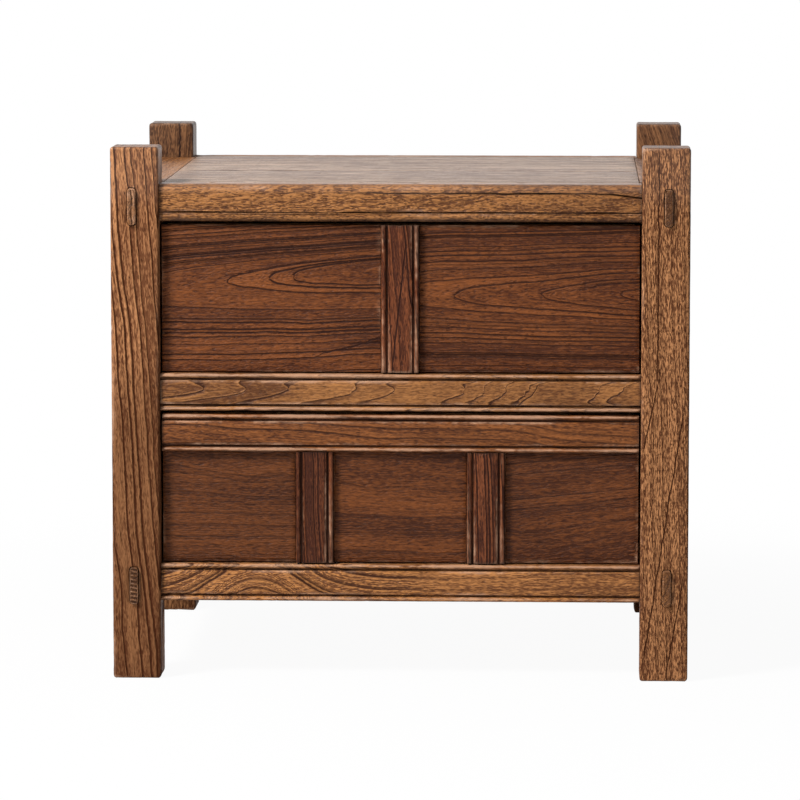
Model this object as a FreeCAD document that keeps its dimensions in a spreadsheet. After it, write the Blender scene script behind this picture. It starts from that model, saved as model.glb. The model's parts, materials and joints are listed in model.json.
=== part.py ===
"""Nightstand: four square posts that stand past the top, rails tenoned between them, and two inset
drawers with dovetailed boxes.

Millimetres. The frame is at the middle of the footprint on the floor: X to the right, Y to the back, Z up.
"""
import FreeCAD, Part
import Sketcher
import math
import os
from types import SimpleNamespace

# Driving dimensions: name, millimetres, meaning
DRIVING = (
    ("width", 550, "over the posts, left to right"),
    ("depth", 450, "over the posts, front to back"),
    ("leg_height", 75, "floor to the underside of the bottom front rail"),
    ("lower_opening", 147, "height of the lower drawer opening"),
    ("upper_opening", 145, "height of the upper drawer opening"),
    ("post_rise", 35, "posts above the top"),
    ("post_side", 46, "side of the square posts"),
    ("post_easing", 2.5, "radius on the posts' long edges"),
    ("post_end_easing", 2, "chamfer round the posts' ends"),
    ("rail_height", 36, "height of the front and back rails"),
    ("rail_thickness", 24, "front to back"),
    ("rail_setback", 5, "front and back rails behind the posts' faces"),
    ("rail_easing", 1.5, "radius on the plain rails' outer edges"),
    ("tenon_length", 18, "blind tenons of the front and back rails"),
    ("tenon_thickness", 10, "blind tenons, front to back"),
    ("tenon_shoulder", 5, "rail above and below a blind tenon"),
    ("side_rail_thickness", 40, "left to right"),
    ("side_rail_lip", 2, "side rails stand inside the posts' inner faces by this much"),
    ("side_rail_drop", 2.5, "bottom side rails below the bottom front rail"),
    ("side_rail_rise", 1, "bottom side rails above the bottom front rail"),
    ("through_tenon_inset", 16.4, "posts' outer faces to the through tenons"),
    ("through_tenon_thickness", 8.4, "left to right"),
    ("through_tenon_shoulder", 4, "side rail above a through tenon, which is flush with its underside"),
    ("through_tenon_proud", 4, "how far the ends stand out of the posts"),
    ("through_tenon_round", 3, "corner radius of the through tenons"),
    ("through_tenon_easing", 1.2, "chamfer round the tenons' ends"),
    ("bead_width", 4.3, "beads along the rails and mullions"),
    ("bead_rise", 1.9, "bead from its foot to its crown"),
    ("quirk_width", 2.3, "groove beside a bead"),
    ("quirk_depth", 3, "groove below the crown"),
    ("quirk_lean", 0.4, "how far a groove's walls lean"),
    ("field_round", 5, "width of the rounded edge of the field"),
    ("field_drop", 1.2, "how far the field's edge falls away"),
    ("top_bead_width", 8, "bead along the bottom of the top rail"),
    ("top_bead_rise", 2.6, "its rise"),
    ("top_quirk_width", 1.7, "grooves of the top rail"),
    ("top_quirk_depth", 3, "their depth"),
    ("top_face_round", 1.5, "rounded edge of the top rail's face"),
    ("top_face_drop", 0.5, "how far that edge falls away"),
    ("top_round_height", 8.1, "rounded upper edge of the top rail, on the front"),
    ("top_round_depth", 6, "the same edge, on the top"),
    ("top_round_radius", 9, "its radius"),
    ("top_board_thickness", 18, "boards of the top"),
    ("front_board_width", 170, "front board of the top, front to back"),
    ("vee", 0.8, "chamfer along the joints of the top"),
    ("tongue_thickness", 6, "tongues of boards and panels"),
    ("tongue_length", 7, "how far a tongue reaches into its groove"),
    ("groove_relief", 1, "free depth past a tongue or tenon"),
    ("joint_gap", 0.1, "glue gap beside a tongue or tenon"),
    ("side_panel_thickness", 12, "side panels"),
    ("side_panel_setback", 9, "side panels behind the side rails' outer faces"),
    ("back_panel_thickness", 10, "back panels"),
    ("panel_gap", 0.5, "shadow gap round a panel"),
    ("batten_width", 30, "cross batten under the top"),
    ("runner_width", 43, "upper runners, left to right"),
    ("runner_reach", 27, "lower runners and kickers, inwards from the side rails"),
    ("stub_length", 8, "stub tenons of the runners, kickers and batten"),
    ("stub_shoulder", 5, "material round a stub tenon"),
    ("guide_width", 16, "drawer guides, left to right"),
    ("guide_height", 14, "drawer guides"),
    ("guide_gap", 1, "running gap between a drawer side and its guide"),
    ("stop_thickness", 12, "drawer stops, front to back"),
    ("stop_height", 20, "drawer stops"),
    ("stop_gap", 0.2, "gap between a closed drawer and its stops"),
    ("front_gap", 1.5, "gap at each end of a drawer's face"),
    ("front_head_gap", 3, "gap above a drawer's face"),
    ("front_foot_gap", 1, "gap below a drawer's face"),
    ("face_thickness", 15, "mullions and face rail"),
    ("face_rail_height", 36, "rail along the top of the lower drawer's face"),
    ("mullion_width", 36, "mullions"),
    ("mullion_offset", 81.8, "lower mullions' centre lines from the middle"),
    ("face_panel_setback", 7, "drawer panels behind the mullions"),
    ("face_tongue_thickness", 3, "tongues of the drawer panels"),
    ("face_tongue_length", 4, "their length"),
    ("face_easing", 0.6, "chamfer round a drawer panel's face"),
    ("box_front_thickness", 14, "front of a drawer box"),
    ("box_side_thickness", 12, "sides of a drawer box"),
    ("box_back_thickness", 12, "back of a drawer box"),
    ("box_side_gap", 7, "drawer box inside the posts' inner faces"),
    ("pin_width", 12, "dovetail pins at their narrow face"),
    ("tail_taper", 2.5, "how far each side of a tail leans"),
    ("bottom_thickness", 6, "drawer bottoms"),
    ("bottom_rise", 10, "drawer bottoms above the sides' lower edges"),
    ("bottom_groove", 6, "groove that holds a drawer bottom"),
    ("screw_radius", 2, "shank"),
    ("screw_head_radius", 4, "countersunk head"),
    ("screw_head_height", 2.2, "countersunk head"),
    ("screw_length", 24, "screws from a drawer box into its face"),
    ("mullion_screw_inset", 35, "upper mullion's screws from its ends"),
)
TAILS = 3
FRONT, BACK = -1, 1
LEFT, RIGHT = -1, 1

TO_THE_FRONT = FreeCAD.Rotation(FreeCAD.Vector(0, 0, 1), FreeCAD.Vector(0, -1, 0))

doc = FreeCAD.newDocument("Nightstand")


class Size:
    """A length together with the formula that ties it to the sheet."""

    def __init__(self, value, formula=None):
        self.value = float(value)
        self.formula = formula or repr(float(value))

    def __add__(self, other):
        other = as_size(other)
        return Size(self.value + other.value, f"({self.formula} + {other.formula})")

    def __sub__(self, other):
        other = as_size(other)
        return Size(self.value - other.value, f"({self.formula} - {other.formula})")

    def __mul__(self, other):
        other = as_size(other)
        return Size(self.value * other.value, f"({self.formula} * {other.formula})")

    def __truediv__(self, other):
        other = as_size(other)
        return Size(self.value / other.value, f"({self.formula} / {other.formula})")

    def __neg__(self):
        return Size(-self.value, f"(0 - {self.formula})")

    def __radd__(self, other):
        return as_size(other) + self

    def __rmul__(self, other):
        return as_size(other) * self


def as_size(number):
    return number if isinstance(number, Size) else Size(number)


def make_sheet():
    """Writes the driving dimensions to the sheet and returns them by name."""
    sheet = doc.addObject("Spreadsheet::Sheet", "Sizes")
    named = {}
    for row, (name, millimetres, meaning) in enumerate(DRIVING, start=1):
        sheet.set(f"A{row}", name)
        sheet.set(f"B{row}", str(millimetres))
        sheet.set(f"C{row}", meaning)
        sheet.setAlias(f"B{row}", name)
        named[name] = Size(millimetres, "Sizes." + name)
    doc.recompute()
    return SimpleNamespace(**named)


sizes = make_sheet()

# Planes and levels that the pieces share
half_width = sizes.width / 2
half_depth = sizes.depth / 2
post_inner_x = half_width - sizes.post_side
post_inner_y = half_depth - sizes.post_side
rail_face_y = half_depth - sizes.rail_setback
rail_inner_y = rail_face_y - sizes.rail_thickness
side_rail_inner_x = post_inner_x - sizes.side_rail_lip
side_rail_outer_x = side_rail_inner_x + sizes.side_rail_thickness
bottom_rail_z = sizes.leg_height
lower_floor_z = bottom_rail_z + sizes.rail_height
mid_rail_z = lower_floor_z + sizes.lower_opening
upper_floor_z = mid_rail_z + sizes.rail_height
top_rail_z = upper_floor_z + sizes.upper_opening
top_z = top_rail_z + sizes.rail_height
post_top_z = top_z + sizes.post_rise
board_under_z = top_z - sizes.top_board_thickness
side_rail_height = sizes.side_rail_drop + sizes.rail_height + sizes.side_rail_rise
through_tenon_height = side_rail_height - sizes.through_tenon_shoulder
bottom_side_rail_z = bottom_rail_z - sizes.side_rail_drop
bottom_side_rail_top_z = bottom_side_rail_z + side_rail_height
top_side_rail_z = top_z - side_rail_height
rail_levels = {"bottom": bottom_rail_z, "mid": mid_rail_z, "top": top_rail_z}
back_panel_levels = (("lower", lower_floor_z, mid_rail_z), ("upper", upper_floor_z, top_rail_z))

# Tongues and grooves: where they lie in the rails
groove_depth = sizes.tongue_length + sizes.groove_relief
tongue_slot = sizes.tongue_thickness + 2 * sizes.joint_gap
rail_middle_y = rail_inner_y + sizes.rail_thickness / 2
side_panel_x = side_rail_outer_x - sizes.side_panel_setback - sizes.side_panel_thickness / 2
board_tongue_z = board_under_z + (sizes.top_board_thickness - sizes.tongue_thickness) / 2

# Drawers
box_x = post_inner_x - sizes.box_side_gap
box_inner_x = box_x - sizes.box_side_thickness
face_x = post_inner_x - sizes.front_gap
face_back_y = -rail_face_y + sizes.face_thickness
box_back_y = rail_inner_y - sizes.stop_thickness - sizes.stop_gap
runner_inner_x = side_rail_inner_x - sizes.runner_reach
stub_depth = sizes.stub_length + sizes.groove_relief


def mirrored(side, near, far):
    """The low and high coordinate of what lies from near to far of the middle plane, on one side of it."""
    near, far = as_size(near), as_size(far)
    return (near, far) if side > 0 else (-far, -near)


def bind(feature, prop, size):
    feature.setExpression(prop, as_size(size).formula)


def lies_at(value, *places):
    return any(abs(value - as_size(place).value) < 1e-4 for place in places)


def parallel(edge, axis):
    """True for a straight edge along X, Y or Z."""
    if not isinstance(edge.Curve, Part.Line):
        return False
    start, end = edge.Vertexes[0].Point, edge.Vertexes[-1].Point
    offsets = dict(zip("xyz", end - start))
    return all(abs(length) < 1e-6 for name, length in offsets.items() if name != axis)


class Piece:
    """One wooden piece: a body whose features are given in the nightstand's own coordinates."""

    def __init__(self, name, low, high=None):
        self.body = doc.addObject("PartDesign::Body", name)
        self.origin = tuple(as_size(value) for value in low)
        for axis, value in zip("xyz", self.origin):
            bind(self.body, "Placement.Base." + axis, value)
        if high is not None:
            self.add("blank", low, high)

    def _locate(self, feature, low):
        for axis, value, start in zip("xyz", low, self.origin):
            bind(feature, "Placement.Base." + axis, as_size(value) - start)

    def _block(self, kind, name, low, high):
        block = self.body.newObject(kind, name)
        for prop, start, end in zip(("Length", "Width", "Height"), low, high):
            bind(block, prop, as_size(end) - as_size(start))
        self._locate(block, low)

    def add(self, name, low, high):
        self._block("PartDesign::AdditiveBox", name, low, high)

    def cut(self, name, low, high):
        self._block("PartDesign::SubtractiveBox", name, low, high)

    def drill(self, name, mouth, depth):
        """A screw's hole, forwards from its mouth."""
        hole = self.body.newObject("PartDesign::SubtractiveCylinder", name)
        hole.Placement = FreeCAD.Placement(FreeCAD.Vector(), TO_THE_FRONT)
        bind(hole, "Radius", sizes.screw_radius + sizes.joint_gap)
        bind(hole, "Height", depth)
        self._locate(hole, mouth)

    def countersink(self, name, mouth, depth):
        self.drill(name + "_hole", mouth, depth)
        head = self.body.newObject("PartDesign::SubtractiveCone", name)
        head.Placement = FreeCAD.Placement(FreeCAD.Vector(), TO_THE_FRONT)
        bind(head, "Radius1", sizes.screw_head_radius + sizes.joint_gap)
        bind(head, "Radius2", sizes.screw_radius + sizes.joint_gap)
        bind(head, "Height", sizes.screw_head_height + sizes.joint_gap)
        self._locate(head, mouth)

    def _dress(self, kind, prop, name, size, chosen):
        doc.recompute()
        base = self.body.Tip
        edges = [f"Edge{number}" for number, edge in enumerate(base.Shape.Edges, start=1)
                 if chosen(edge, edge.CenterOfMass + self.place())]
        feature = self.body.newObject(kind, name)
        feature.Base = (base, edges)
        bind(feature, prop, size)

    def fillet(self, name, radius, chosen):
        self._dress("PartDesign::Fillet", "Radius", name, radius, chosen)

    def chamfer(self, name, size, chosen):
        self._dress("PartDesign::Chamfer", "Size", name, size, chosen)

    def place(self):
        return FreeCAD.Vector(*(value.value for value in self.origin))

    def sketch(self, name, role):
        sketch = self.body.newObject("Sketcher::SketchObject", name)
        plane = next(item for item in self.body.Origin.OriginFeatures if item.Role == role)
        sketch.AttachmentSupport = [(plane, "")]
        sketch.MapMode = "FlatFace"
        return sketch

    def extrude(self, kind, name, sketch, length):
        feature = self.body.newObject(kind, name)
        feature.Profile = sketch
        bind(feature, "Length", length)
        return feature


def arc_between(start, end, radius, towards):
    """The short arc from start to end that bulges towards a point, and whether it runs clockwise."""
    middle = (start + end) / 2
    chord = end - start
    across = FreeCAD.Vector(-chord.y, chord.x, 0).normalize()
    if across.dot(towards - middle) > 0:
        across = -across
    centre = middle + across * math.sqrt(radius ** 2 - chord.Length ** 2 / 4)
    first, last = start - centre, end - centre
    clockwise = first.cross(last).z < 0
    if clockwise:
        first, last = last, first
    begin = math.atan2(first.y, first.x)
    finish = math.atan2(last.y, last.x)
    if finish < begin:
        finish += 2 * math.pi
    circle = Part.Circle(centre, FreeCAD.Vector(0, 0, 1), radius)
    return Part.ArcOfCircle(circle, begin, finish), clockwise


def draw_outline(sketch, corners, arcs=None):
    """Draws a closed outline and ties each corner to the sheet.

    arcs gives, for the side that starts at a corner's number, its radius and a point it bulges towards.
    """
    corners = [(as_size(x), as_size(y)) for x, y in corners]
    ends = []
    for number, corner in enumerate(corners):
        start = FreeCAD.Vector(corner[0].value, corner[1].value, 0)
        x, y = corners[(number + 1) % len(corners)]
        end = FreeCAD.Vector(x.value, y.value, 0)
        clockwise = False
        if arcs and number in arcs:
            radius, (x, y) = arcs[number]
            towards = FreeCAD.Vector(as_size(x).value, as_size(y).value, 0)
            curve, clockwise = arc_between(start, end, radius.value, towards)
        else:
            curve = Part.LineSegment(start, end)
        index = sketch.addGeometry(curve)
        ends.append((index, 2, 1) if clockwise else (index, 1, 2))
        if arcs and number in arcs:
            radius_constraint = sketch.addConstraint(Sketcher.Constraint("Radius", index, radius.value))
            sketch.setExpression(f"Constraints[{radius_constraint}]", radius.formula)
    for number, (index, start, _) in enumerate(ends):
        before, _, end = ends[number - 1]
        sketch.addConstraint(Sketcher.Constraint("Coincident", before, end, index, start))
        for kind, axis_line, size in zip(("DistanceX", "DistanceY"), (-2, -1), corners[number]):
            if size.value == 0:
                sketch.addConstraint(Sketcher.Constraint("PointOnObject", index, start, axis_line))
                continue
            tie = sketch.addConstraint(Sketcher.Constraint(kind, -1, 1, index, start, size.value))
            sketch.setExpression(f"Constraints[{tie}]", size.formula)


def arc_radius(half_chord, rise):
    """Radius of the arc that rises so far over half its chord."""
    return (half_chord * half_chord + rise * rise) / (2 * rise)


def beaded_outline(height, thickness):
    """Section of a rail or mullion: a bead and a groove along each edge and a crowned field between."""
    bead, quirk, lean = sizes.bead_width, sizes.quirk_width, sizes.quirk_lean
    field_low = bead + quirk
    field_high = height - field_low
    corners = [
        (0, thickness),
        (0, sizes.bead_rise),
        (bead, sizes.bead_rise),
        (bead + lean, sizes.quirk_depth),
        (field_low - lean, sizes.quirk_depth),
        (field_low, sizes.field_drop),
        (field_low + sizes.field_round, 0),
        (field_high - sizes.field_round, 0),
        (field_high, sizes.field_drop),
        (field_high + lean, sizes.quirk_depth),
        (height - bead - lean, sizes.quirk_depth),
        (height - bead, sizes.bead_rise),
        (height, sizes.bead_rise),
        (height, thickness),
    ]
    bead_radius = arc_radius(bead / 2, sizes.bead_rise)
    field_radius = arc_radius(sizes.field_round, sizes.field_drop)
    arcs = {
        1: (bead_radius, (bead / 2, 0)),
        5: (field_radius, (field_low, 0)),
        7: (field_radius, (field_high, 0)),
        11: (bead_radius, (height - bead / 2, 0)),
    }
    return corners, arcs


def top_rail_outline(height, thickness):
    """Section of the top front rail: bead below, flat face between two grooves, rounded upper edge."""
    bead, quirk, lean = sizes.top_bead_width, sizes.top_quirk_width, sizes.quirk_lean
    face_low = bead + quirk
    round_low = height - sizes.top_round_height
    face_high = round_low - quirk
    corners = [
        (0, thickness),
        (0, sizes.top_bead_rise),
        (bead, sizes.top_bead_rise),
        (bead + lean, sizes.top_quirk_depth),
        (face_low - lean, sizes.top_quirk_depth),
        (face_low, sizes.top_face_drop),
        (face_low + sizes.top_face_round, 0),
        (face_high - sizes.top_face_round, 0),
        (face_high, sizes.top_face_drop),
        (face_high + lean, sizes.top_quirk_depth),
        (round_low - lean, sizes.top_quirk_depth),
        (round_low, sizes.top_face_drop),
        (height, sizes.top_round_depth),
        (height, thickness),
    ]
    face_radius = arc_radius(sizes.top_face_round, sizes.top_face_drop)
    arcs = {
        1: (arc_radius(bead / 2, sizes.top_bead_rise), (bead / 2, 0)),
        5: (face_radius, (face_low, 0)),
        7: (face_radius, (face_high, 0)),
        11: (sizes.top_round_radius, (height, 0)),
    }
    return corners, arcs


def moulded_along_x(name, low, length, height, thickness, outline):
    """A horizontal piece with a moulded front, its crown at the low corner's Y."""
    piece = Piece(name, low)
    corners, arcs = outline(height, thickness)
    section = piece.sketch(name + "_section", "YZ_Plane")
    turned = {number: (radius, (y, x)) for number, (radius, (x, y)) in arcs.items()}
    draw_outline(section, [(y, x) for x, y in corners], turned)
    piece.extrude("PartDesign::Pad", name + "_moulding", section, length)
    return piece


def moulded_along_z(name, low, length, width, thickness, outline):
    """An upright piece with a moulded front, its crown at the low corner's Y."""
    piece = Piece(name, low)
    section = piece.sketch(name + "_section", "XY_Plane")
    draw_outline(section, *outline(width, thickness))
    piece.extrude("PartDesign::Pad", name + "_moulding", section, length)
    return piece


def tail_corners(number, height, end_y, root_y, floor, gap):
    """One dovetail, wide at its end and narrow at its root."""
    pitch = height / TAILS
    low = floor + pitch * number + sizes.pin_width / 2 - gap
    high = floor + pitch * (number + 1) - sizes.pin_width / 2 + gap
    return [(end_y, low), (end_y, high), (root_y, high - sizes.tail_taper), (root_y, low + sizes.tail_taper)]


# Carcass
def make_post(side, end):
    name = f"post_{'front' if end == FRONT else 'back'}_{'left' if side == LEFT else 'right'}"
    x = mirrored(side, post_inner_x, half_width)
    y = mirrored(end, post_inner_y, half_depth)
    post = Piece(name, (x[0], y[0], 0), (x[1], y[1], post_top_z))
    post.fillet(name + "_long_edges", sizes.post_easing, lambda edge, middle: parallel(edge, "z"))
    post.chamfer(name + "_end_edges", sizes.post_end_easing,
                 lambda edge, middle: lies_at(middle.z, 0, post_top_z))

    gap = sizes.joint_gap
    mortise_x = mirrored(side, post_inner_x, post_inner_x + sizes.tenon_length + sizes.groove_relief)
    mortise_y = mirrored(end, rail_middle_y - sizes.tenon_thickness / 2 - gap,
                         rail_middle_y + sizes.tenon_thickness / 2 + gap)
    for level, floor in rail_levels.items():
        post.cut(f"{name}_{level}_mortise",
                 (mortise_x[0], mortise_y[0], floor + sizes.tenon_shoulder - gap),
                 (mortise_x[1], mortise_y[1], floor + sizes.rail_height - sizes.tenon_shoulder + gap))

    tenon_outer_x = half_width - sizes.through_tenon_inset
    through_x = mirrored(side, tenon_outer_x - sizes.through_tenon_thickness - gap, tenon_outer_x + gap)
    levels = []
    for level, floor in (("bottom", bottom_side_rail_z), ("top", top_side_rail_z)):
        low_z, high_z = floor - gap, floor + through_tenon_height + gap
        post.cut(f"{name}_{level}_through_mortise",
                 (through_x[0], y[0], low_z), (through_x[1], y[1], high_z))
        levels += [low_z, high_z]
    post.fillet(name + "_mortise_corners", sizes.through_tenon_round + gap,
                lambda edge, middle: parallel(edge, "y") and lies_at(middle.z, *levels)
                and lies_at(middle.x, *through_x))

    panel_x = mirrored(side, side_panel_x - tongue_slot / 2, side_panel_x + tongue_slot / 2)
    groove_y = mirrored(end, post_inner_y, post_inner_y + groove_depth)
    post.cut(name + "_side_groove", (panel_x[0], groove_y[0], bottom_side_rail_top_z),
             (panel_x[1], groove_y[1], top_side_rail_z))
    if end == BACK:
        groove_x = mirrored(side, post_inner_x, post_inner_x + groove_depth)
        for level, low_z, high_z in back_panel_levels:
            post.cut(f"{name}_{level}_back_groove", (groove_x[0], rail_middle_y - tongue_slot / 2, low_z),
                     (groove_x[1], rail_middle_y + tongue_slot / 2, high_z))
    return post


def add_rail_tenons(rail, name, end, floor):
    """Blind tenons at both ends of a front or back rail."""
    y = mirrored(end, rail_middle_y - sizes.tenon_thickness / 2, rail_middle_y + sizes.tenon_thickness / 2)
    reach = post_inner_x + sizes.tenon_length
    rail.add(name + "_tenons", (-reach, y[0], floor + sizes.tenon_shoulder),
             (reach, y[1], floor + sizes.rail_height - sizes.tenon_shoulder))


def cross_bars(level):
    """Bars from a front rail to its back rail: name, low and high X, low and high Z between the rails."""
    if level == "bottom":
        near, far = runner_inner_x, side_rail_inner_x
        z = (bottom_rail_z, lower_floor_z + sizes.front_foot_gap)
        names = ("runner_lower_left", "runner_lower_right")
    elif level == "mid":
        near, far = runner_inner_x, post_inner_x
        z = (mid_rail_z, upper_floor_z + sizes.front_foot_gap)
        names = ("runner_upper_left", "runner_upper_right")
    else:
        near, far = runner_inner_x, side_rail_inner_x
        z = (top_rail_z, board_under_z)
        names = ("kicker_left", "kicker_right")
    bars = [(name, mirrored(side, near, far), z) for name, side in zip(names, (LEFT, RIGHT))]
    if level == "top":
        half = sizes.batten_width / 2
        bars.append(("top_batten", (-half, half), z))
    return bars


def stub_section(x, z, gap):
    """Low and high X and Z of a bar's stub tenon, or of its mortise where there is a gap."""
    inset = sizes.stub_shoulder - gap
    return (x[0] + inset, x[1] - inset), (z[0] + inset, z[1] - inset)


def cut_bar_mortises(rail, level, end):
    y = mirrored(end, rail_inner_y, rail_inner_y + stub_depth)
    for name, bar_x, bar_z in cross_bars(level):
        x, z = stub_section(bar_x, bar_z, sizes.joint_gap)
        rail.cut(f"{rail.body.Name}_{name}_mortise", (x[0], y[0], z[0]), (x[1], y[1], z[1]))


def cut_board_groove(rail, name, end):
    """The groove for the top boards, in a top rail's inner face."""
    y = mirrored(end, rail_inner_y, rail_inner_y + groove_depth)
    rail.cut(name + "_board_groove", (-post_inner_x, y[0], board_tongue_z - sizes.joint_gap),
             (post_inner_x, y[1], board_tongue_z + sizes.tongue_thickness + sizes.joint_gap))


def make_front_rails():
    for level, outline in (("top", top_rail_outline), ("mid", beaded_outline), ("bottom", beaded_outline)):
        name = level + "_rail_front"
        floor = rail_levels[level]
        rail = moulded_along_x(name, (-post_inner_x, -rail_face_y, floor), 2 * post_inner_x,
                               sizes.rail_height, sizes.rail_thickness, outline)
        add_rail_tenons(rail, name, FRONT, floor)
        cut_bar_mortises(rail, level, FRONT)
        if level == "top":
            cut_board_groove(rail, name, FRONT)


def make_back_rails():
    for level, floor in rail_levels.items():
        name = level + "_rail_back"
        ceiling = floor + sizes.rail_height
        rail = Piece(name, (-post_inner_x, rail_inner_y, floor), (post_inner_x, rail_face_y, ceiling))
        rail.fillet(name + "_edges", sizes.rail_easing,
                    lambda edge, middle: parallel(edge, "x") and lies_at(middle.y, rail_face_y))
        add_rail_tenons(rail, name, BACK, floor)
        groove_y = (rail_middle_y - tongue_slot / 2, rail_middle_y + tongue_slot / 2)
        if level != "bottom":
            rail.cut(name + "_lower_groove", (-post_inner_x, groove_y[0], floor),
                     (post_inner_x, groove_y[1], floor + groove_depth))
        if level != "top":
            rail.cut(name + "_upper_groove", (-post_inner_x, groove_y[0], ceiling - groove_depth),
                     (post_inner_x, groove_y[1], ceiling))
        cut_bar_mortises(rail, level, BACK)
        if level == "top":
            cut_board_groove(rail, name, BACK)


def make_side_rail(side, level):
    """A side rail with a tenon right through each post; the top one has a lip that runs past the posts."""
    name = f"{level}_rail_{'left' if side == LEFT else 'right'}"
    floor = top_side_rail_z if level == "top" else bottom_side_rail_z
    ceiling = floor + side_rail_height
    tenon_outer_x = half_width - sizes.through_tenon_inset
    tenon_x = mirrored(side, tenon_outer_x - sizes.through_tenon_thickness, tenon_outer_x)
    tenon_y = half_depth + sizes.through_tenon_proud
    rail = Piece(name, (tenon_x[0], -tenon_y, floor), (tenon_x[1], tenon_y, floor + through_tenon_height))
    rail.fillet(name + "_tenon_corners", sizes.through_tenon_round, lambda edge, middle: parallel(edge, "y"))
    rail.chamfer(name + "_tenon_ends", sizes.through_tenon_easing,
                 lambda edge, middle: lies_at(abs(middle.y), tenon_y))

    x = mirrored(side, side_rail_inner_x, side_rail_outer_x)
    rail.add(name + "_rail", (x[0], -post_inner_y, floor), (x[1], post_inner_y, ceiling))
    if level == "top":
        lip_x = mirrored(side, side_rail_inner_x, post_inner_x)
        rail.add(name + "_lip", (lip_x[0], -rail_inner_y, floor), (lip_x[1], rail_inner_y, ceiling))
    rail.fillet(name + "_outer_edges", sizes.rail_easing,
                lambda edge, middle: parallel(edge, "y") and lies_at(abs(middle.x), side_rail_outer_x))
    if level == "top":
        rail.chamfer(name + "_vee", sizes.vee,
                     lambda edge, middle: parallel(edge, "y") and lies_at(abs(middle.x), side_rail_inner_x)
                     and lies_at(middle.z, ceiling))

    panel_x = (side * side_panel_x - tongue_slot / 2, side * side_panel_x + tongue_slot / 2)
    groove_z = (floor, floor + groove_depth) if level == "top" else (ceiling - groove_depth, ceiling)
    rail.cut(name + "_panel_groove", (panel_x[0], -post_inner_y, groove_z[0]),
             (panel_x[1], post_inner_y, groove_z[1]))
    if level == "top":
        board_x = mirrored(side, side_rail_inner_x, side_rail_inner_x + groove_depth)
        rail.cut(name + "_board_groove", (board_x[0], -post_inner_y, board_tongue_z - sizes.joint_gap),
                 (board_x[1], post_inner_y, board_tongue_z + sizes.tongue_thickness + sizes.joint_gap))


def make_top():
    """Two boards, tongued into the rails and into each other."""
    x = side_rail_inner_x
    joint_y = -rail_inner_y + sizes.front_board_width
    tongue_z = (board_tongue_z, board_tongue_z + sizes.tongue_thickness)
    side_reach = x + sizes.tongue_length
    end_y = post_inner_y - sizes.groove_relief
    gap = sizes.joint_gap

    def top_edge(edge, middle):
        return lies_at(middle.z, top_z)

    front = Piece("top_board_front", (-x, -rail_inner_y, board_under_z), (x, joint_y, top_z))
    front.chamfer("front_board_vee", sizes.vee, top_edge)
    front.add("front_board_front_tongue", (-x, -rail_inner_y - sizes.tongue_length, tongue_z[0]),
              (x, joint_y - groove_depth, tongue_z[1]))
    front.add("front_board_side_tongues", (-side_reach, -end_y, tongue_z[0]),
              (side_reach, joint_y - groove_depth, tongue_z[1]))
    front.cut("front_board_groove", (-x, joint_y - groove_depth, tongue_z[0] - gap),
              (x, joint_y, tongue_z[1] + gap))

    back = Piece("top_board_back", (-x, joint_y, board_under_z), (x, rail_inner_y, top_z))
    back.chamfer("back_board_vee", sizes.vee, top_edge)
    back.add("back_board_tongues", (-x, joint_y - sizes.tongue_length, tongue_z[0]),
             (x, rail_inner_y + sizes.tongue_length, tongue_z[1]))
    back.add("back_board_side_tongues", (-side_reach, joint_y, tongue_z[0]),
             (side_reach, end_y, tongue_z[1]))


def make_panel(name, low, high, thin, tongue_middle):
    """A panel between four members, thin along X or Y: tongues along its edges, none at its corners."""
    along = 1 if thin == "x" else 0
    across = 1 - along
    blank_low, blank_high = list(low), list(high)
    for axis in (along, 2):
        blank_low[axis] = low[axis] + sizes.panel_gap
        blank_high[axis] = high[axis] - sizes.panel_gap
    panel = Piece(name, blank_low, blank_high)
    for axis, edges in ((along, "upright"), (2, "level")):
        tongue_low, tongue_high = list(blank_low), list(blank_high)
        tongue_low[across] = tongue_middle - sizes.tongue_thickness / 2
        tongue_high[across] = tongue_middle + sizes.tongue_thickness / 2
        tongue_low[axis] = low[axis] - sizes.tongue_length
        tongue_high[axis] = high[axis] + sizes.tongue_length
        panel.add(f"{name}_{edges}_tongues", tongue_low, tongue_high)


def make_panels():
    half = sizes.side_panel_thickness / 2
    for side, hand in ((LEFT, "left"), (RIGHT, "right")):
        middle = side * side_panel_x
        make_panel("side_panel_" + hand, (middle - half, -post_inner_y, bottom_side_rail_top_z),
                   (middle + half, post_inner_y, top_side_rail_z), "x", middle)
    half = sizes.back_panel_thickness / 2
    for level, low_z, high_z in back_panel_levels:
        make_panel("back_panel_" + level, (-post_inner_x, rail_middle_y - half, low_z),
                   (post_inner_x, rail_middle_y + half, high_z), "y", rail_middle_y)


def make_bars():
    """Runners, kickers and batten, each with a stub tenon in the rails at its ends."""
    y = rail_inner_y
    for level in rail_levels:
        for name, x, z in cross_bars(level):
            bar = Piece(name, (x[0], -y, z[0]), (x[1], y, z[1]))
            stub_x, stub_z = stub_section(x, z, 0)
            bar.add(name + "_stubs", (stub_x[0], -y - sizes.stub_length, stub_z[0]),
                    (stub_x[1], y + sizes.stub_length, stub_z[1]))
            if level == "mid":
                side = RIGHT if name.endswith("right") else LEFT
                wing_x = mirrored(side, post_inner_x, runner_inner_x + sizes.runner_width)
                bar.add(name + "_wing", (wing_x[0], -post_inner_y, z[0]), (wing_x[1], post_inner_y, z[1]))


def make_guides():
    """Strips beside the drawers: the upper pair on the runners, the lower pair on the side rails."""
    for side, hand in ((LEFT, "left"), (RIGHT, "right")):
        x = mirrored(side, box_x + sizes.guide_gap, box_x + sizes.guide_gap + sizes.guide_width)
        floors = {"upper": upper_floor_z + sizes.front_foot_gap, "lower": bottom_side_rail_top_z}
        for level, floor in floors.items():
            Piece(f"guide_{level}_{hand}", (x[0], -post_inner_y, floor),
                  (x[1], post_inner_y, floor + sizes.guide_height))


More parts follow.
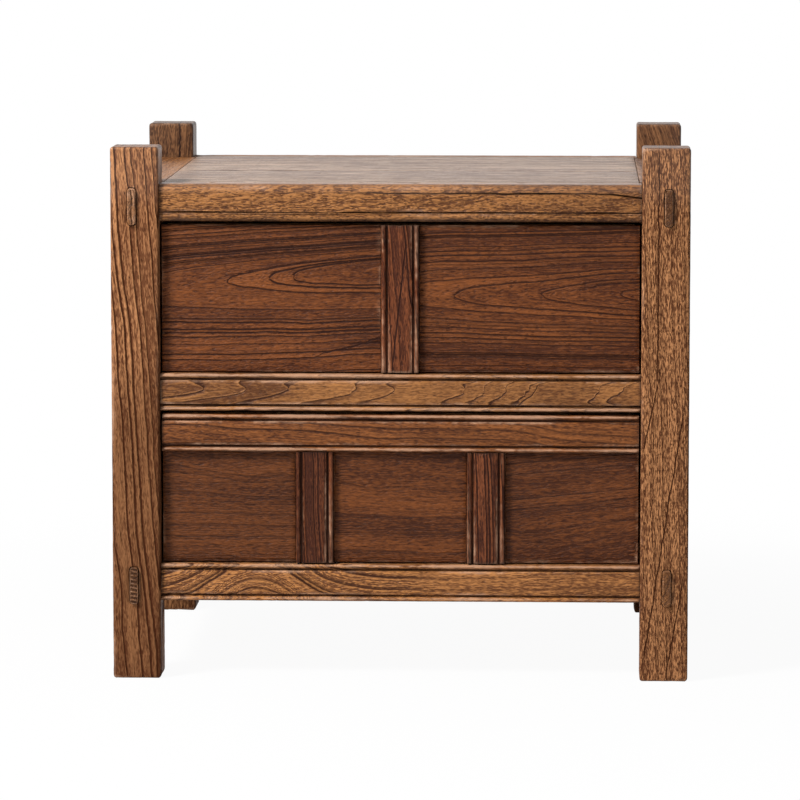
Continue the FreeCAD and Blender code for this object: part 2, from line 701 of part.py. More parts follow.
# Drawers
def make_drawer_box(drawer, floor, height, screws):
    """A dovetailed box open at the top, with its bottom in grooves."""
    ceiling = floor + height
    gap = sizes.joint_gap
    front_root_y = face_back_y + sizes.box_front_thickness
    back_root_y = box_back_y - sizes.box_back_thickness
    bottom_z = floor + sizes.bottom_rise
    slot = (bottom_z - gap, bottom_z + sizes.bottom_thickness + gap)
    back_floor = slot[1]
    length = box_back_y - face_back_y

    front = Piece(drawer + "_box_front", (-box_x, face_back_y, floor), (box_x, front_root_y, ceiling))
    sockets = front.sketch(drawer + "_front_sockets", "YZ_Plane")
    for number in range(TAILS):
        draw_outline(sockets, tail_corners(number, height, 0, sizes.box_front_thickness, 0, gap))
    cut_sockets(front, drawer + "_front", sockets)
    groove_reach = box_inner_x + sizes.bottom_groove
    front.cut(drawer + "_front_bottom_groove",
              (-groove_reach, front_root_y - sizes.bottom_groove, slot[0]),
              (groove_reach, front_root_y, slot[1]))
    for number, (x, z) in enumerate(screws):
        front.countersink(f"{drawer}_front_sink_{number}", (x, front_root_y, z), sizes.box_front_thickness)

    back = Piece(drawer + "_box_back", (-box_x, back_root_y, back_floor), (box_x, box_back_y, ceiling))
    sockets = back.sketch(drawer + "_back_sockets", "YZ_Plane")
    back_height = ceiling - back_floor
    for number in range(TAILS):
        draw_outline(sockets, tail_corners(number, back_height, sizes.box_back_thickness, 0, 0, gap))
    cut_sockets(back, drawer + "_back", sockets)

    for side, hand in ((LEFT, "left"), (RIGHT, "right")):
        x = mirrored(side, box_inner_x, box_x)
        name = f"{drawer}_box_{hand}"
        board = Piece(name, (x[0], face_back_y, floor))
        board.add(name + "_board", (x[0], front_root_y, floor), (x[1], back_root_y, ceiling))
        tails = board.sketch(name + "_tails", "YZ_Plane")
        for number in range(TAILS):
            draw_outline(tails, tail_corners(number, height, 0, sizes.box_front_thickness, 0, 0))
            draw_outline(tails, tail_corners(number, back_height, length, length - sizes.box_back_thickness,
                                             back_floor - floor, 0))
        board.extrude("PartDesign::Pad", name + "_tail_pad", tails, sizes.box_side_thickness)
        board.add(name + "_heel", (x[0], back_root_y, floor), (x[1], box_back_y, back_floor))
        groove_x = mirrored(side, box_inner_x, box_inner_x + sizes.bottom_groove)
        board.cut(name + "_bottom_groove", (groove_x[0], front_root_y - sizes.bottom_groove, slot[0]),
                  (groove_x[1], box_back_y, slot[1]))

    reach = box_inner_x + sizes.bottom_groove - sizes.panel_gap
    Piece(drawer + "_box_bottom", (-reach, front_root_y - sizes.bottom_groove + sizes.panel_gap, bottom_z),
          (reach, box_back_y, bottom_z + sizes.bottom_thickness))


def cut_sockets(board, name, sketch):
    """Cuts dovetail sockets at the board's left end and mirrors them to its right end."""
    pocket = board.extrude("PartDesign::Pocket", name + "_socket_pocket", sketch,
                           sizes.box_side_thickness + sizes.joint_gap)
    pocket.Reversed = True
    right = board.sketch(name + "_right_end", "YZ_Plane")
    right.AttachmentOffset = FreeCAD.Placement(FreeCAD.Vector(0, 0, box_x.value), FreeCAD.Rotation())
    bind(right, "AttachmentOffset.Base.z", box_x)
    mirror = board.body.newObject("PartDesign::Mirrored", name + "_socket_mirror")
    mirror.Originals = [pocket]
    mirror.MirrorPlane = (right, [""])
    board.body.Tip = mirror


def make_face_panel(name, low_x, high_x, floor, ceiling, tongue_left, tongue_right, tongue_top):
    """A drawer face panel with tongues towards its mullions and the rail above."""
    front_y = -rail_face_y + sizes.face_panel_setback
    panel = Piece(name, (low_x, front_y, floor), (high_x, face_back_y, ceiling))
    panel.chamfer(name + "_easing", sizes.face_easing, lambda edge, middle: lies_at(middle.y, front_y))
    middle_y = (front_y + face_back_y) / 2
    panel.add(name + "_tongue",
              (low_x - tongue_left, middle_y - sizes.face_tongue_thickness / 2, floor),
              (high_x + tongue_right, middle_y + sizes.face_tongue_thickness / 2, ceiling + tongue_top))


def make_mullion(name, centre_x, floor, ceiling, tongue_top, screws):
    """An upright, beaded like the rails, grooved at both sides for the panels' tongues."""
    half = sizes.mullion_width / 2
    low_x, high_x = centre_x - half, centre_x + half
    mullion = moulded_along_z(name, (low_x, -rail_face_y, floor), ceiling - floor, sizes.mullion_width,
                              sizes.face_thickness, beaded_outline)
    middle_y = (-rail_face_y + sizes.face_panel_setback + face_back_y) / 2
    tongue_y = (middle_y - sizes.face_tongue_thickness / 2, middle_y + sizes.face_tongue_thickness / 2)
    if tongue_top is not None:
        mullion.add(name + "_stub", (low_x, tongue_y[0], floor), (high_x, tongue_y[1], ceiling + tongue_top))
    depth = sizes.face_tongue_length + sizes.groove_relief
    top = ceiling if tongue_top is None else ceiling + tongue_top
    for hand, x in (("left", (low_x, low_x + depth)), ("right", (high_x - depth, high_x))):
        mullion.cut(f"{name}_{hand}_groove", (x[0], tongue_y[0] - sizes.joint_gap, floor),
                    (x[1], tongue_y[1] + sizes.joint_gap, top))
    drill_pilots(mullion, name, screws)


def drill_pilots(piece, name, screws):
    """Holes for the screws that come through the box front."""
    depth = sizes.screw_length - sizes.box_front_thickness + sizes.joint_gap
    for number, (x, z) in enumerate(screws):
        piece.drill(f"{name}_pilot_{number}", (x, face_back_y, z), depth)


def make_upper_drawer():
    floor = upper_floor_z + sizes.front_foot_gap
    height = sizes.upper_opening - sizes.front_foot_gap - sizes.front_head_gap
    ceiling = floor + height
    screws = [(0, floor + sizes.mullion_screw_inset), (0, ceiling - sizes.mullion_screw_inset)]
    make_drawer_box("upper", floor, height, screws)
    half = sizes.mullion_width / 2
    make_mullion("upper_mullion", as_size(0), floor, ceiling, None, screws)
    tongue = sizes.face_tongue_length
    make_face_panel("upper_panel_left", -face_x, -half, floor, ceiling, 0, tongue, 0)
    make_face_panel("upper_panel_right", half, face_x, floor, ceiling, tongue, 0, 0)
    return screws


def make_lower_drawer():
    floor = lower_floor_z + sizes.front_foot_gap
    height = sizes.lower_opening - sizes.front_foot_gap - sizes.front_head_gap
    ceiling = floor + height
    rail_z = ceiling - sizes.face_rail_height
    screws = {side: (side * sizes.mullion_offset, (floor + rail_z) / 2) for side in (LEFT, RIGHT)}
    make_drawer_box("lower", floor, height, screws.values())

    tongue = sizes.face_tongue_length
    rail = moulded_along_x("lower_face_rail", (-face_x, -rail_face_y, rail_z), 2 * face_x,
                           sizes.face_rail_height, sizes.face_thickness, beaded_outline)
    middle_y = (-rail_face_y + sizes.face_panel_setback + face_back_y) / 2
    slot = sizes.face_tongue_thickness / 2 + sizes.joint_gap
    rail.cut("face_rail_groove", (-face_x, middle_y - slot, rail_z),
             (face_x, middle_y + slot, rail_z + tongue + sizes.groove_relief))

    half = sizes.mullion_width / 2
    for side, hand in ((LEFT, "left"), (RIGHT, "right")):
        make_mullion("lower_mullion_" + hand, side * sizes.mullion_offset, floor, rail_z, tongue,
                     [screws[side]])
    inner, outer = sizes.mullion_offset - half, sizes.mullion_offset + half
    make_face_panel("lower_panel_left", -face_x, -outer, floor, rail_z, 0, tongue, tongue)
    make_face_panel("lower_panel_middle", -inner, inner, floor, rail_z, tongue, tongue, tongue)
    make_face_panel("lower_panel_right", outer, face_x, floor, rail_z, tongue, 0, tongue)
    return screws.values()


# Small pieces that come in groups of like ones
def make_stops():
    blocks = []
    y = (rail_inner_y - sizes.stop_thickness, rail_inner_y)
    for floor in (lower_floor_z + sizes.front_foot_gap, upper_floor_z + sizes.front_foot_gap):
        for side in (LEFT, RIGHT):
            x = mirrored(side, runner_inner_x + sizes.stub_shoulder, box_x)
            block = doc.addObject("Part::Box", "stop_block")
            for prop, start, end in zip(("Length", "Width", "Height"), (x[0], y[0], floor),
                                        (x[1], y[1], floor + sizes.stop_height)):
                bind(block, prop, end - start)
            for axis, value in zip("xyz", (x[0], y[0], floor)):
                bind(block, "Placement.Base." + axis, value)
            blocks.append(block)
    return group("drawer_stops", blocks)


def make_screw(mouth):
    """A countersunk screw whose head lies flush at the mouth and whose point is to the front."""
    shank = doc.addObject("Part::Cylinder", "shank")
    bind(shank, "Radius", sizes.screw_radius)
    bind(shank, "Height", sizes.screw_length)
    head = doc.addObject("Part::Cone", "head")
    bind(head, "Radius1", sizes.screw_head_radius)
    bind(head, "Radius2", sizes.screw_radius)
    bind(head, "Height", sizes.screw_head_height)
    for solid in (shank, head):
        solid.Placement = FreeCAD.Placement(FreeCAD.Vector(), TO_THE_FRONT)
        for axis, value in zip("xyz", mouth):
            bind(solid, "Placement.Base." + axis, value)
    screw = doc.addObject("Part::Fuse", "screw")
    screw.Base = shank
    screw.Tool = head
    return screw


def group(name, solids):
    together = doc.addObject("Part::Compound", name)
    together.Links = solids
    return together


def make_face_screws(name, places):
    mouth_y = face_back_y + sizes.box_front_thickness
    return group(name, [make_screw((x, mouth_y, z)) for x, z in places])


def build():
    for end in (FRONT, BACK):
        for side in (LEFT, RIGHT):
            make_post(side, end)
    make_front_rails()
    make_back_rails()
    for side in (LEFT, RIGHT):
        for level in ("bottom", "top"):
            make_side_rail(side, level)
    make_top()
    make_panels()
    make_bars()
    make_guides()
    upper_screws = make_upper_drawer()
    lower_screws = make_lower_drawer()
    groups = [make_stops(), make_face_screws("upper_face_screws", upper_screws),
              make_face_screws("lower_face_screws", lower_screws)]
    doc.recompute()
    return [item for item in doc.Objects if item.TypeId == "PartDesign::Body"] + groups


def check(pieces):
    """Stops when a feature has failed or a piece isn't one or more sound solids."""
    for item in doc.Objects:
        if {"Invalid", "Error"} & set(item.State):
            raise RuntimeError(f"{item.Label} failed: {item.State}")
    for piece in pieces:
        shape = piece.Shape
        if shape.isNull() or not shape.isValid() or not shape.Solids:
            raise RuntimeError(f"{piece.Label} has no sound shape")
        if piece.TypeId == "PartDesign::Body" and len(shape.Solids) != 1:
            raise RuntimeError(f"{piece.Label} fell into {len(shape.Solids)} solids")


pieces = build()
check(pieces)
os.makedirs("parts", exist_ok=True)
for piece in pieces:
    piece.Shape.exportStep(f"parts/{piece.Label}.step")
print(len(pieces), "pieces written")
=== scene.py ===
"""The nightstand as it looks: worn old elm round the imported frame, drawn piece by piece."""

import json
import math
from types import SimpleNamespace
from typing import NamedTuple

import bmesh
import bpy
from bpy.props import FloatProperty, FloatVectorProperty, PointerProperty
from mathutils import Matrix, Vector, noise

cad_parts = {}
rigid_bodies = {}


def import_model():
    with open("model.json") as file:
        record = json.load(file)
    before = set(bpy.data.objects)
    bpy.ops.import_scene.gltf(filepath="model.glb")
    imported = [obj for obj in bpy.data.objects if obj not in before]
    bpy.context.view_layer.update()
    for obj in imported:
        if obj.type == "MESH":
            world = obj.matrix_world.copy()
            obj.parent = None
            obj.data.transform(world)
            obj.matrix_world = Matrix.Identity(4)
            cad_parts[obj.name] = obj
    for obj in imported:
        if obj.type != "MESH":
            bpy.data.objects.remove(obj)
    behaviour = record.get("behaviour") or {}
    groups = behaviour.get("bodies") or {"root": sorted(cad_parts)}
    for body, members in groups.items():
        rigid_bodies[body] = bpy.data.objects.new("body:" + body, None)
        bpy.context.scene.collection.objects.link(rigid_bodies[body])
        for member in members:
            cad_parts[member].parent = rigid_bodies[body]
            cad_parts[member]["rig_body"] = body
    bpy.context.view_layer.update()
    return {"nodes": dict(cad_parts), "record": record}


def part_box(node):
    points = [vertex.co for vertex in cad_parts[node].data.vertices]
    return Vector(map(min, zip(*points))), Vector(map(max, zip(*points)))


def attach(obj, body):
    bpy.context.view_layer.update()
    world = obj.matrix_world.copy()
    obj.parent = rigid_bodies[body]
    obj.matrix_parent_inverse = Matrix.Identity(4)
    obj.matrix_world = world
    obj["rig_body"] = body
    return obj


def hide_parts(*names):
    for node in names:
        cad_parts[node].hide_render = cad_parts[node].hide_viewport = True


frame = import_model()

bl_info = {
    "name": "Old Elm Nightstand",
    "version": (1, 0, 0),
    "blender": (4, 5, 0),
    "location": "3D View > Sidebar > Nightstand",
    "description": "Makes the worn elm pieces, finishes and stage of a nightstand with two drawers",
    "category": "Object",
}

X, Y, Z = 0, 1, 2
AXES = (Vector((1, 0, 0)), Vector((0, 1, 0)), Vector((0, 0, 1)))
TO_LEFT, TO_RIGHT, TO_FRONT, TO_BACK, UP = (-1, 0, 0), (1, 0, 0), (0, -1, 0), (0, 1, 0), (0, 0, 1)
# Two places closer than this, in metres, are the same place
HAIR = 1e-5
# A direction along which no two points of a piece lie equally far
UNEVEN = Vector((1.0, 1.6180339, 2.7182818))
SLOTS = {part["node"]: part["material_slot"] for part in frame["record"]["subparts"]}


def srgb(red, green, blue):
    """A colour as a screen shows it, from 0 to 255, made linear."""
    return tuple(((value / 255 + 0.055) / 1.055) ** 2.4 for value in (red, green, blue))


def size(name, description, default):
    return FloatProperty(name=name, description=description, default=default, unit="LENGTH", precision=4)


def tint(name, description, default):
    return FloatVectorProperty(name=name, description=description, default=default, subtype="COLOR",
                               min=0, max=1)


def share(name, description, default):
    return FloatProperty(name=name, description=description, default=default, subtype="FACTOR", min=0, max=1)


class NightstandJoinery(bpy.types.PropertyGroup):
    """Sizes of what joins the pieces, as the frame has them."""

    through_inset: size("Through tenon inset", "Posts' outer faces to the through tenons", 0.0164)
    through_thickness: size("Through tenon thickness", "Through tenons, left to right", 0.0084)
    through_shoulder: size("Through tenon shoulder", "Side rail above a through tenon", 0.004)
    through_round: size("Through tenon corners", "Corner radius of the through tenons", 0.003)
    tongue_length: size("Tongue length", "Tongues of the boards and panels", 0.007)
    tongue_thickness: size("Tongue thickness", "Tongues of the boards and panels", 0.006)
    panel_gap: size("Panel gap", "Shadow gap round a panel", 0.0005)
    face_tongue_length: size("Face tongue length", "Tongues of the drawer panels", 0.004)
    face_tongue_thickness: size("Face tongue thickness", "Tongues of the drawer panels", 0.003)


class NightstandMouldings(bpy.types.PropertyGroup):
    """Sizes of the beads, grooves and eased edges."""

    bead: size("Bead", "Width of the beads along rails and mullions", 0.0043)
    quirk: size("Groove", "Width of the groove beside a bead", 0.0023)
    quirk_depth: size("Groove depth", "Depth below the bead's crown", 0.003)
    lean: size("Groove lean", "How far a groove's walls lean", 0.0004)
    field_round: size("Field edge", "Width of the rounded edge of the field", 0.005)
    field_drop: size("Field drop", "How far the field's edge falls away", 0.0012)
    top_bead: size("Top rail bead", "Bead along the bottom of the top rail", 0.008)
    top_quirk: size("Top rail groove", "Width of the top rail's grooves", 0.0017)
    top_round_height: size("Top rail round, front", "Rounded upper edge, on the front", 0.0081)
    top_round_depth: size("Top rail round, top", "The same edge, on the top", 0.006)
    post_easing: size("Post easing", "Radius on the posts' long edges", 0.0026)
    end_easing: size("End easing", "Radius round the posts' tops", 0.003)
    foot_easing: size("Foot easing", "Radius round the posts' feet", 0.0034)
    rail_easing: size("Rail easing", "Radius on the plain rails' outer edges", 0.0015)
    vee: size("Vee", "Chamfer along the joints of the top", 0.0008)
    panel_easing: size("Panel easing", "Chamfer round a drawer panel's face", 0.0007)


class NightstandWear(bpy.types.PropertyGroup):
    """How much a long life has rubbed and knocked the pieces, and how strongly the beads carry a painted
    highlight.
    """

    rub: size("Rub", "How deep the arrises are rubbed where they are rubbed most", 0.0007)
    ripple: size("Ripple", "Unevenness of the hand-planed faces", 0.00025)
    nick: size("Nick", "Depth of the knocks along the arrises", 0.0009)
    # Scales the beads' paling: rubbed wear, and the painted highlight where they face the lamp.
    polish: share("Polish", "How far hands have rubbed the stain off the beads", 1.0)


class NightstandFinish(bpy.types.PropertyGroup):
    """Stains, wax, dirt, and the colours of painted highlight and painted shade."""

    post: tint("Post", "Stain of the posts", srgb(150, 98, 66))
    rail: tint("Rail", "Stain of the rails", srgb(148, 93, 53))
    top: tint("Top", "Stain of the top boards", srgb(156, 120, 100))
    panel: tint("Panel", "Stain of the drawer panels", srgb(108, 56, 26))
    mullion: tint("Mullion", "Stain of the mullions", srgb(109, 56, 32))
    drawer_rail: tint("Drawer rail", "Stain of the lower drawer's rail", srgb(116, 64, 32))
    inner: tint("Inner wood", "Bare wood inside", srgb(201, 148, 104))
    steel: tint("Screw", "Dulled steel of the screws", srgb(128, 122, 112))
    # Painted into hollows and seams as dirt, and under the beads and the top rail and on the posts'
    # right-facing arrises as painted shade.
    dirt: tint("Dirt", "What has settled in grooves and pores", srgb(36, 18, 10))
    # Also the colour of the painted highlight on the beads' lit side.
    worn: tint("Worn wood", "Arrises rubbed through the stain", srgb(214, 168, 136))
    grain: tint("Grain", "What the stain is multiplied by in lines and pores", (0.16, 0.12, 0.11))
    gloss: share("Gloss", "How much the wax reflects", 0.16)
    top_gloss: share("Top gloss", "How much the wax on the top reflects", 0.8)
    post_gloss: share("Post gloss", "How much the posts, whose wax has worn off, reflect", 0.01)
    post_wax: share("Post wax", "Wax that hands have left on the posts above the top", 0.48)
    round_wax: share("Round wax", "Wax on the top rail's rounded edge", 0.65)


class NightstandStage(bpy.types.PropertyGroup):
    """Camera, lamps and floor."""

    lens: FloatProperty(name="Lens", description="Focal length of the camera in millimetres",
                        default=205.2, subtype="DISTANCE_CAMERA")
    camera: FloatVectorProperty(name="Camera", description="Place of the camera",
                                default=(0.1629, -4.5261, 0.7728), subtype="TRANSLATION", unit="LENGTH")
    pitch: FloatProperty(name="Pitch", description="How far the camera looks down", default=0.1163,
                         subtype="ANGLE")
    yaw: FloatProperty(name="Yaw", description="How far the camera turns to the left", default=0.0378,
                       subtype="ANGLE")
    ambient: FloatProperty(name="Ambient", description="Strength of the light from all sides", default=0.24)
    key: FloatProperty(name="Key lamp", description="Power of the lamp at the upper left", default=160,
                       subtype="POWER")


def settings(name):
    return getattr(bpy.context.scene, "nightstand_" + name)


# How the pieces were sawn
class Sawn(NamedTuple):
    """How a piece lay in its log and how it took the stain. Lengths are in metres.

    The log's pith runs along the grain. across and behind place it from the middle of the piece's face, and
    veer and dive say how far it moves that way for each metre along. lopsided crowds the rings on the side
    that across points to. hump bends them sideways round hump_place. spacing is from ring to ring, line is
    how wide a ring's dark line is, and wander how far it strays. lines, feather, pores, streaks, specks and
    flecks say how strongly each of them shows. fade darkens the start and fade_end the end, and calm weakens
    the lines of the second half.
    """

    across: float = 0.05
    behind: float = 0.07
    veer: float = 0.0
    dive: float = 0.0
    lopsided: float = 0.0
    hump: float = 0.0
    hump_length: float = 0.06
    hump_place: float = 0.0
    spacing: float = 0.006
    line: float = 0.0015
    wander: float = 0.005
    lines: float = 1.0
    feather: float = 0.3
    pores: float = 0.35
    pore_length: float = 0.005
    streaks: float = 0.16
    specks: float = 0.2
    flecks: float = 0.22
    shade: float = 1.0
    fade: float = 0.0
    fade_end: float = 0.0
    calm: float = 0.0


BACK_RAILS = ("bottom_rail_back", "mid_rail_back", "top_rail_back")
FRAME_PANELS = ("side_panel_left", "side_panel_right", "back_panel_lower", "back_panel_upper")
INNER_WOOD = Sawn(across=0.06, behind=0.09, dive=0.06, spacing=0.005, lines=0.3, feather=0.2, pores=0.25)
SIDE_RAIL = Sawn(across=0.03, behind=0.06, dive=0.04, lines=0.3)
LOWER_PANEL = Sawn(across=0.05, behind=0.08, spacing=0.011, lines=0.35, pores=0.2, streaks=0.13,
                   pore_length=0.016, specks=0.24, flecks=0.7)
LOWER_MULLION = Sawn(across=0.06, behind=0.03, veer=0.04)
SAWN = {
    "post_front_left": Sawn(across=0.075, behind=0.035, veer=0.07, spacing=0.0085, line=0.0019, pores=0.3,
                            wander=0.006, feather=0.2, fade=0.58, specks=0.3, shade=1.16),
    "post_front_right": Sawn(across=-0.09, behind=0.05, veer=0.03, spacing=0.0125, lines=0.4, pores=0.75,
                             pore_length=0.0031, feather=0.7, streaks=0.14, specks=0.65, flecks=1.0),
    "post_back_left": Sawn(across=-0.05, behind=0.05, veer=0.05, pores=0.5, lines=0.3, streaks=0.2,
                           specks=0.4, feather=0.1, shade=0.48),
    "post_back_right": Sawn(across=0.05, behind=0.04, veer=-0.3, spacing=0.009, lines=0.3, pores=0.4,
                            shade=0.63),
    "top_rail_front": Sawn(across=0.01, behind=0.05, dive=0.03, spacing=0.008, lines=0.3, feather=0.8,
                           pores=0.5, pore_length=0.0034, wander=0.008, specks=0.4, flecks=0.8,
                           fade_end=0.25, shade=0.92),
    "mid_rail_front": Sawn(across=0.004, behind=0.031, dive=0.1, spacing=0.0044, pores=0.15, line=0.0018,
                           wander=0.003, feather=0.1, specks=0.2, flecks=0.3, shade=0.9),
    "bottom_rail_front": Sawn(across=-0.05, behind=0.05, spacing=0.0085, feather=0.8, hump=-0.034,
                              hump_length=0.055, hump_place=-0.135, pores=0.25, wander=0.006, line=0.0022,
                              specks=0.34, flecks=0.5, shade=1.14, calm=0.75),
    "lower_face_rail": Sawn(across=0.08, behind=0.03, veer=-0.06, spacing=0.012, line=0.0015, pores=0.25,
                            streaks=0.22, specks=0.26, wander=0.009, lines=0.75, calm=0.3),
    "upper_panel_left": Sawn(across=0.026, behind=0.013, veer=0.05, dive=-0.07, lopsided=0.44,
                             spacing=0.0047, line=0.0016, pores=0.25, wander=0.002, feather=0.25),
    "upper_panel_right": Sawn(across=0.004, behind=0.022, dive=-0.05, veer=0.01, spacing=0.0045, lines=0.85,
                              pores=0.45, streaks=0.22, wander=0.003, line=0.0015),
    "lower_panel_left": LOWER_PANEL._replace(shade=0.66),
    "lower_panel_middle": LOWER_PANEL._replace(across=0.04, behind=0.07, shade=0.82),
    "lower_panel_right": LOWER_PANEL._replace(across=-0.05, veer=0.07, spacing=0.009, lines=0.5, specks=0.22,
                                              flecks=0.8, shade=0.8),
    "upper_mullion": Sawn(across=0.05, behind=0.03, veer=0.08, spacing=0.007, pores=0.4, streaks=0.25),
    "lower_mullion_left": LOWER_MULLION._replace(spacing=0.0045, shade=0.84),
    "lower_mullion_right": LOWER_MULLION._replace(spacing=0.0055, shade=0.9, streaks=0.4),
    "top_board_front": Sawn(across=0.05, behind=0.04, spacing=0.01, lines=0.7, streaks=0.5),
    "top_board_back": Sawn(across=-0.06, behind=0.05, spacing=0.012, lines=0.7, streaks=0.5),
    "top_rail_left": SIDE_RAIL,
    "top_rail_right": SIDE_RAIL._replace(shade=0.75),
    "bottom_rail_left": SIDE_RAIL._replace(shade=0.7),
    "bottom_rail_right": SIDE_RAIL._replace(shade=0.9),
    **dict.fromkeys(BACK_RAILS, Sawn(across=0.02, behind=0.08, dive=0.05)),
    **dict.fromkeys(FRAME_PANELS, Sawn(across=0.04, behind=0.05, dive=0.08, spacing=0.007)),
}


class Check(NamedTuple):
    """A crack along the grain: its place across the face, how it leans, where it starts and ends along the
    grain from the piece's middle, how wide it is and how far it strays."""

    across: float
    lean: float
    start: float
    end: float
    width: float
    stray: float


CHECKS = {
    "post_front_right": (
        Check(0.0071, 0.0, 0.02, 0.262, 0.0008, 0.006),
        Check(0.0135, -0.21, -0.045, 0.045, 0.0008, 0.004),
        Check(-0.017, -0.155, -0.25, 0.02, 0.0009, 0.005),
        Check(-0.0456, -0.175, -0.262, -0.14, 0.0008, 0.004),
    ),
    "post_back_left": (Check(0.0092, 0.0, 0.15, 0.275, 0.0014, 0.009),),
    "upper_mullion": (Check(0.0, -0.11, -0.08, 0.06, 0.0011, 0.003),),
    "upper_panel_left": (
        Check(-0.068, 0.3, 0.03, 0.13, 0.0012, 0.01),
        Check(-0.044, 0.02, 0.06, 0.13, 0.0018, 0.006),
    ),
}


# Shader graphs
def label_of(name):
    """What a socket is called: pore_length here is Pore Length there."""
    return name.replace("_", " ").title()


def by_name(sockets):
    named = {socket.name.lower().replace(" ", "_"): socket for socket in sockets if socket.name}
    return SimpleNamespace(**named)


def picked(source, names):
    return {name: getattr(source, name) for name in names}


class Graph:
    """Adds nodes to a tree. A value is a socket to link or a plain number, vector or colour."""

    def __init__(self, tree):
        self.tree = tree

    def fill(self, node, inputs):
        for name, value in inputs.items():
            if isinstance(value, bpy.types.NodeSocket):
                self.tree.links.new(value, node.inputs[name])
            else:
                node.inputs[name].default_value = value

    def add(self, kind, inputs=None, **options):
        node = self.tree.nodes.new("ShaderNode" + kind)
        for option, value in options.items():
            setattr(node, option, value)
        self.fill(node, inputs or {})
        return node

    def place(self, group, **inputs):
        """Adds a node group and returns its outputs by name."""
        node = self.add("Group", node_tree=group)
        self.fill(node, {label_of(name): value for name, value in inputs.items()})
        return by_name(node.outputs)

    def math(self, operation, *values, clamp=False):
        return self.add("Math", dict(enumerate(values)), operation=operation, use_clamp=clamp).outputs[0]

    def times(self, first, second, clamp=False):
        return self.math("MULTIPLY", first, second, clamp=clamp)

    def plus(self, first, second, clamp=False):
        return self.math("ADD", first, second, clamp=clamp)

    def minus(self, first, second, clamp=False):
        return self.math("SUBTRACT", first, second, clamp=clamp)

    def over(self, first, second):
        return self.math("DIVIDE", first, second)

    def most(self, first, second):
        return self.math("MAXIMUM", first, second)

    def pile(self, base, *parts, clamp=False):
        """The base plus each value times its factor."""
        for value, factor in parts:
            base = self.math("MULTIPLY_ADD", value, factor, base, clamp=clamp)
        return base

    def vector(self, operation, *values):
        return self.add("VectorMath", dict(enumerate(values)), operation=operation).outputs[0]

    def length(self, vector):
        return self.add("VectorMath", {0: vector}, operation="LENGTH").outputs["Value"]

    def axes(self, vector):
        return self.add("SeparateXYZ", {0: vector}).outputs

    def shift(self, vector, amount, way):
        """Moves a pattern: by a piece's seed, so that no two are alike, or by a noise, to bend it."""
        return self.vector("ADD", vector, self.vector("MULTIPLY", amount, way))

    def noise(self, vector, stretch=(1, 1, 1), detail=2.0, roughness=0.5):
        """Noise round 0."""
        scaled = self.vector("MULTIPLY", vector, stretch)
        inputs = {"Vector": scaled, "Scale": 1.0, "Detail": detail, "Roughness": roughness}
        return self.minus(self.add("TexNoise", inputs).outputs[0], 0.5)

    def ramp(self, value, start, end, low=0.0, high=1.0):
        """A smooth step from low to high as the value goes from start to end."""
        inputs = {"Value": value, "From Min": start, "From Max": end, "To Min": low, "To Max": high}
        return self.add("MapRange", inputs, interpolation_type="SMOOTHSTEP").outputs[0]

    def mix(self, factor, first, second):
        return self.add("Mix", {0: factor, 6: first, 7: second}, data_type="RGBA").outputs[2]

    def mark(self, name):
        """What the mesh says of each of its points."""
        return self.add("Attribute", attribute_name=name, attribute_type="GEOMETRY").outputs["Fac"]


def new_group(name, numbers, outputs, colors=()):
    """A node group: returns its tree, its graph, its inputs and a function that links its outputs."""
    tree = bpy.data.node_groups.new(name, "ShaderNodeTree")
    kinds = {"vector": "Vector", **dict.fromkeys(numbers, "Float"), **dict.fromkeys(colors, "Color")}
    for label, kind in kinds.items():
        tree.interface.new_socket(label_of(label), in_out="INPUT", socket_type="NodeSocket" + kind)
    for label in outputs:
        kind = "Color" if label == "color" else "Float"
        tree.interface.new_socket(label_of(label), in_out="OUTPUT", socket_type="NodeSocket" + kind)
    given = by_name(tree.nodes.new("NodeGroupInput").outputs)
    leave = tree.nodes.new("NodeGroupOutput")

    def put_out(**values):
        for label, socket in values.items():
            tree.links.new(socket, leave.inputs[label_of(label)])

    return tree, Graph(tree), given, put_out


# What the wood's groups take from a Sawn: the shape of the rings, and how the surface shows them
RINGS = ("spacing", "wander", "lopsided", "hump", "hump_length", "hump_place")
FIGURE = ("line", "lines", "feather", "pores", "pore_length", "streaks", "specks", "flecks")
PORE_WIDTH = 0.0012
# How far apart two points are whose years are compared, in metres
SLOPE_STEP = 0.0007


def ring_field():
    """How many years out from the pith a point lies, along rings that wander."""
    tree, graph, given, put_out = new_group("ring field", (*RINGS, "seed"), ("years",))
    place = graph.shift(given.vector, given.seed, (1.7, 0.9, 2.3))
    radius = graph.length(graph.vector("MULTIPLY", given.vector, (0, 1, 1)))
    axes = graph.axes(given.vector)
    along = graph.over(graph.minus(axes[0], given.hump_place), given.hump_length)
    hump = graph.math("EXPONENT", graph.times(graph.times(along, along), -1.0))
    broad = graph.noise(place, (7, 12, 12), detail=1.0)
    lively = graph.noise(place, (26, 70, 70), detail=2.5)
    strayed = graph.pile(radius, (axes[1], given.lopsided), (hump, given.hump),
                         (broad, graph.times(given.wander, 2.2)),
                         (lively, graph.pile(0.0012, (given.wander, 0.25))))
    years = graph.over(strayed, given.spacing)
    uneven = graph.add("TexNoise", {"W": graph.plus(given.seed, years), "Scale": 0.6, "Detail": 1.0},
                       noise_dimensions="1D").outputs[0]
    put_out(years=graph.pile(years, (uneven, 2.6)))
    return tree


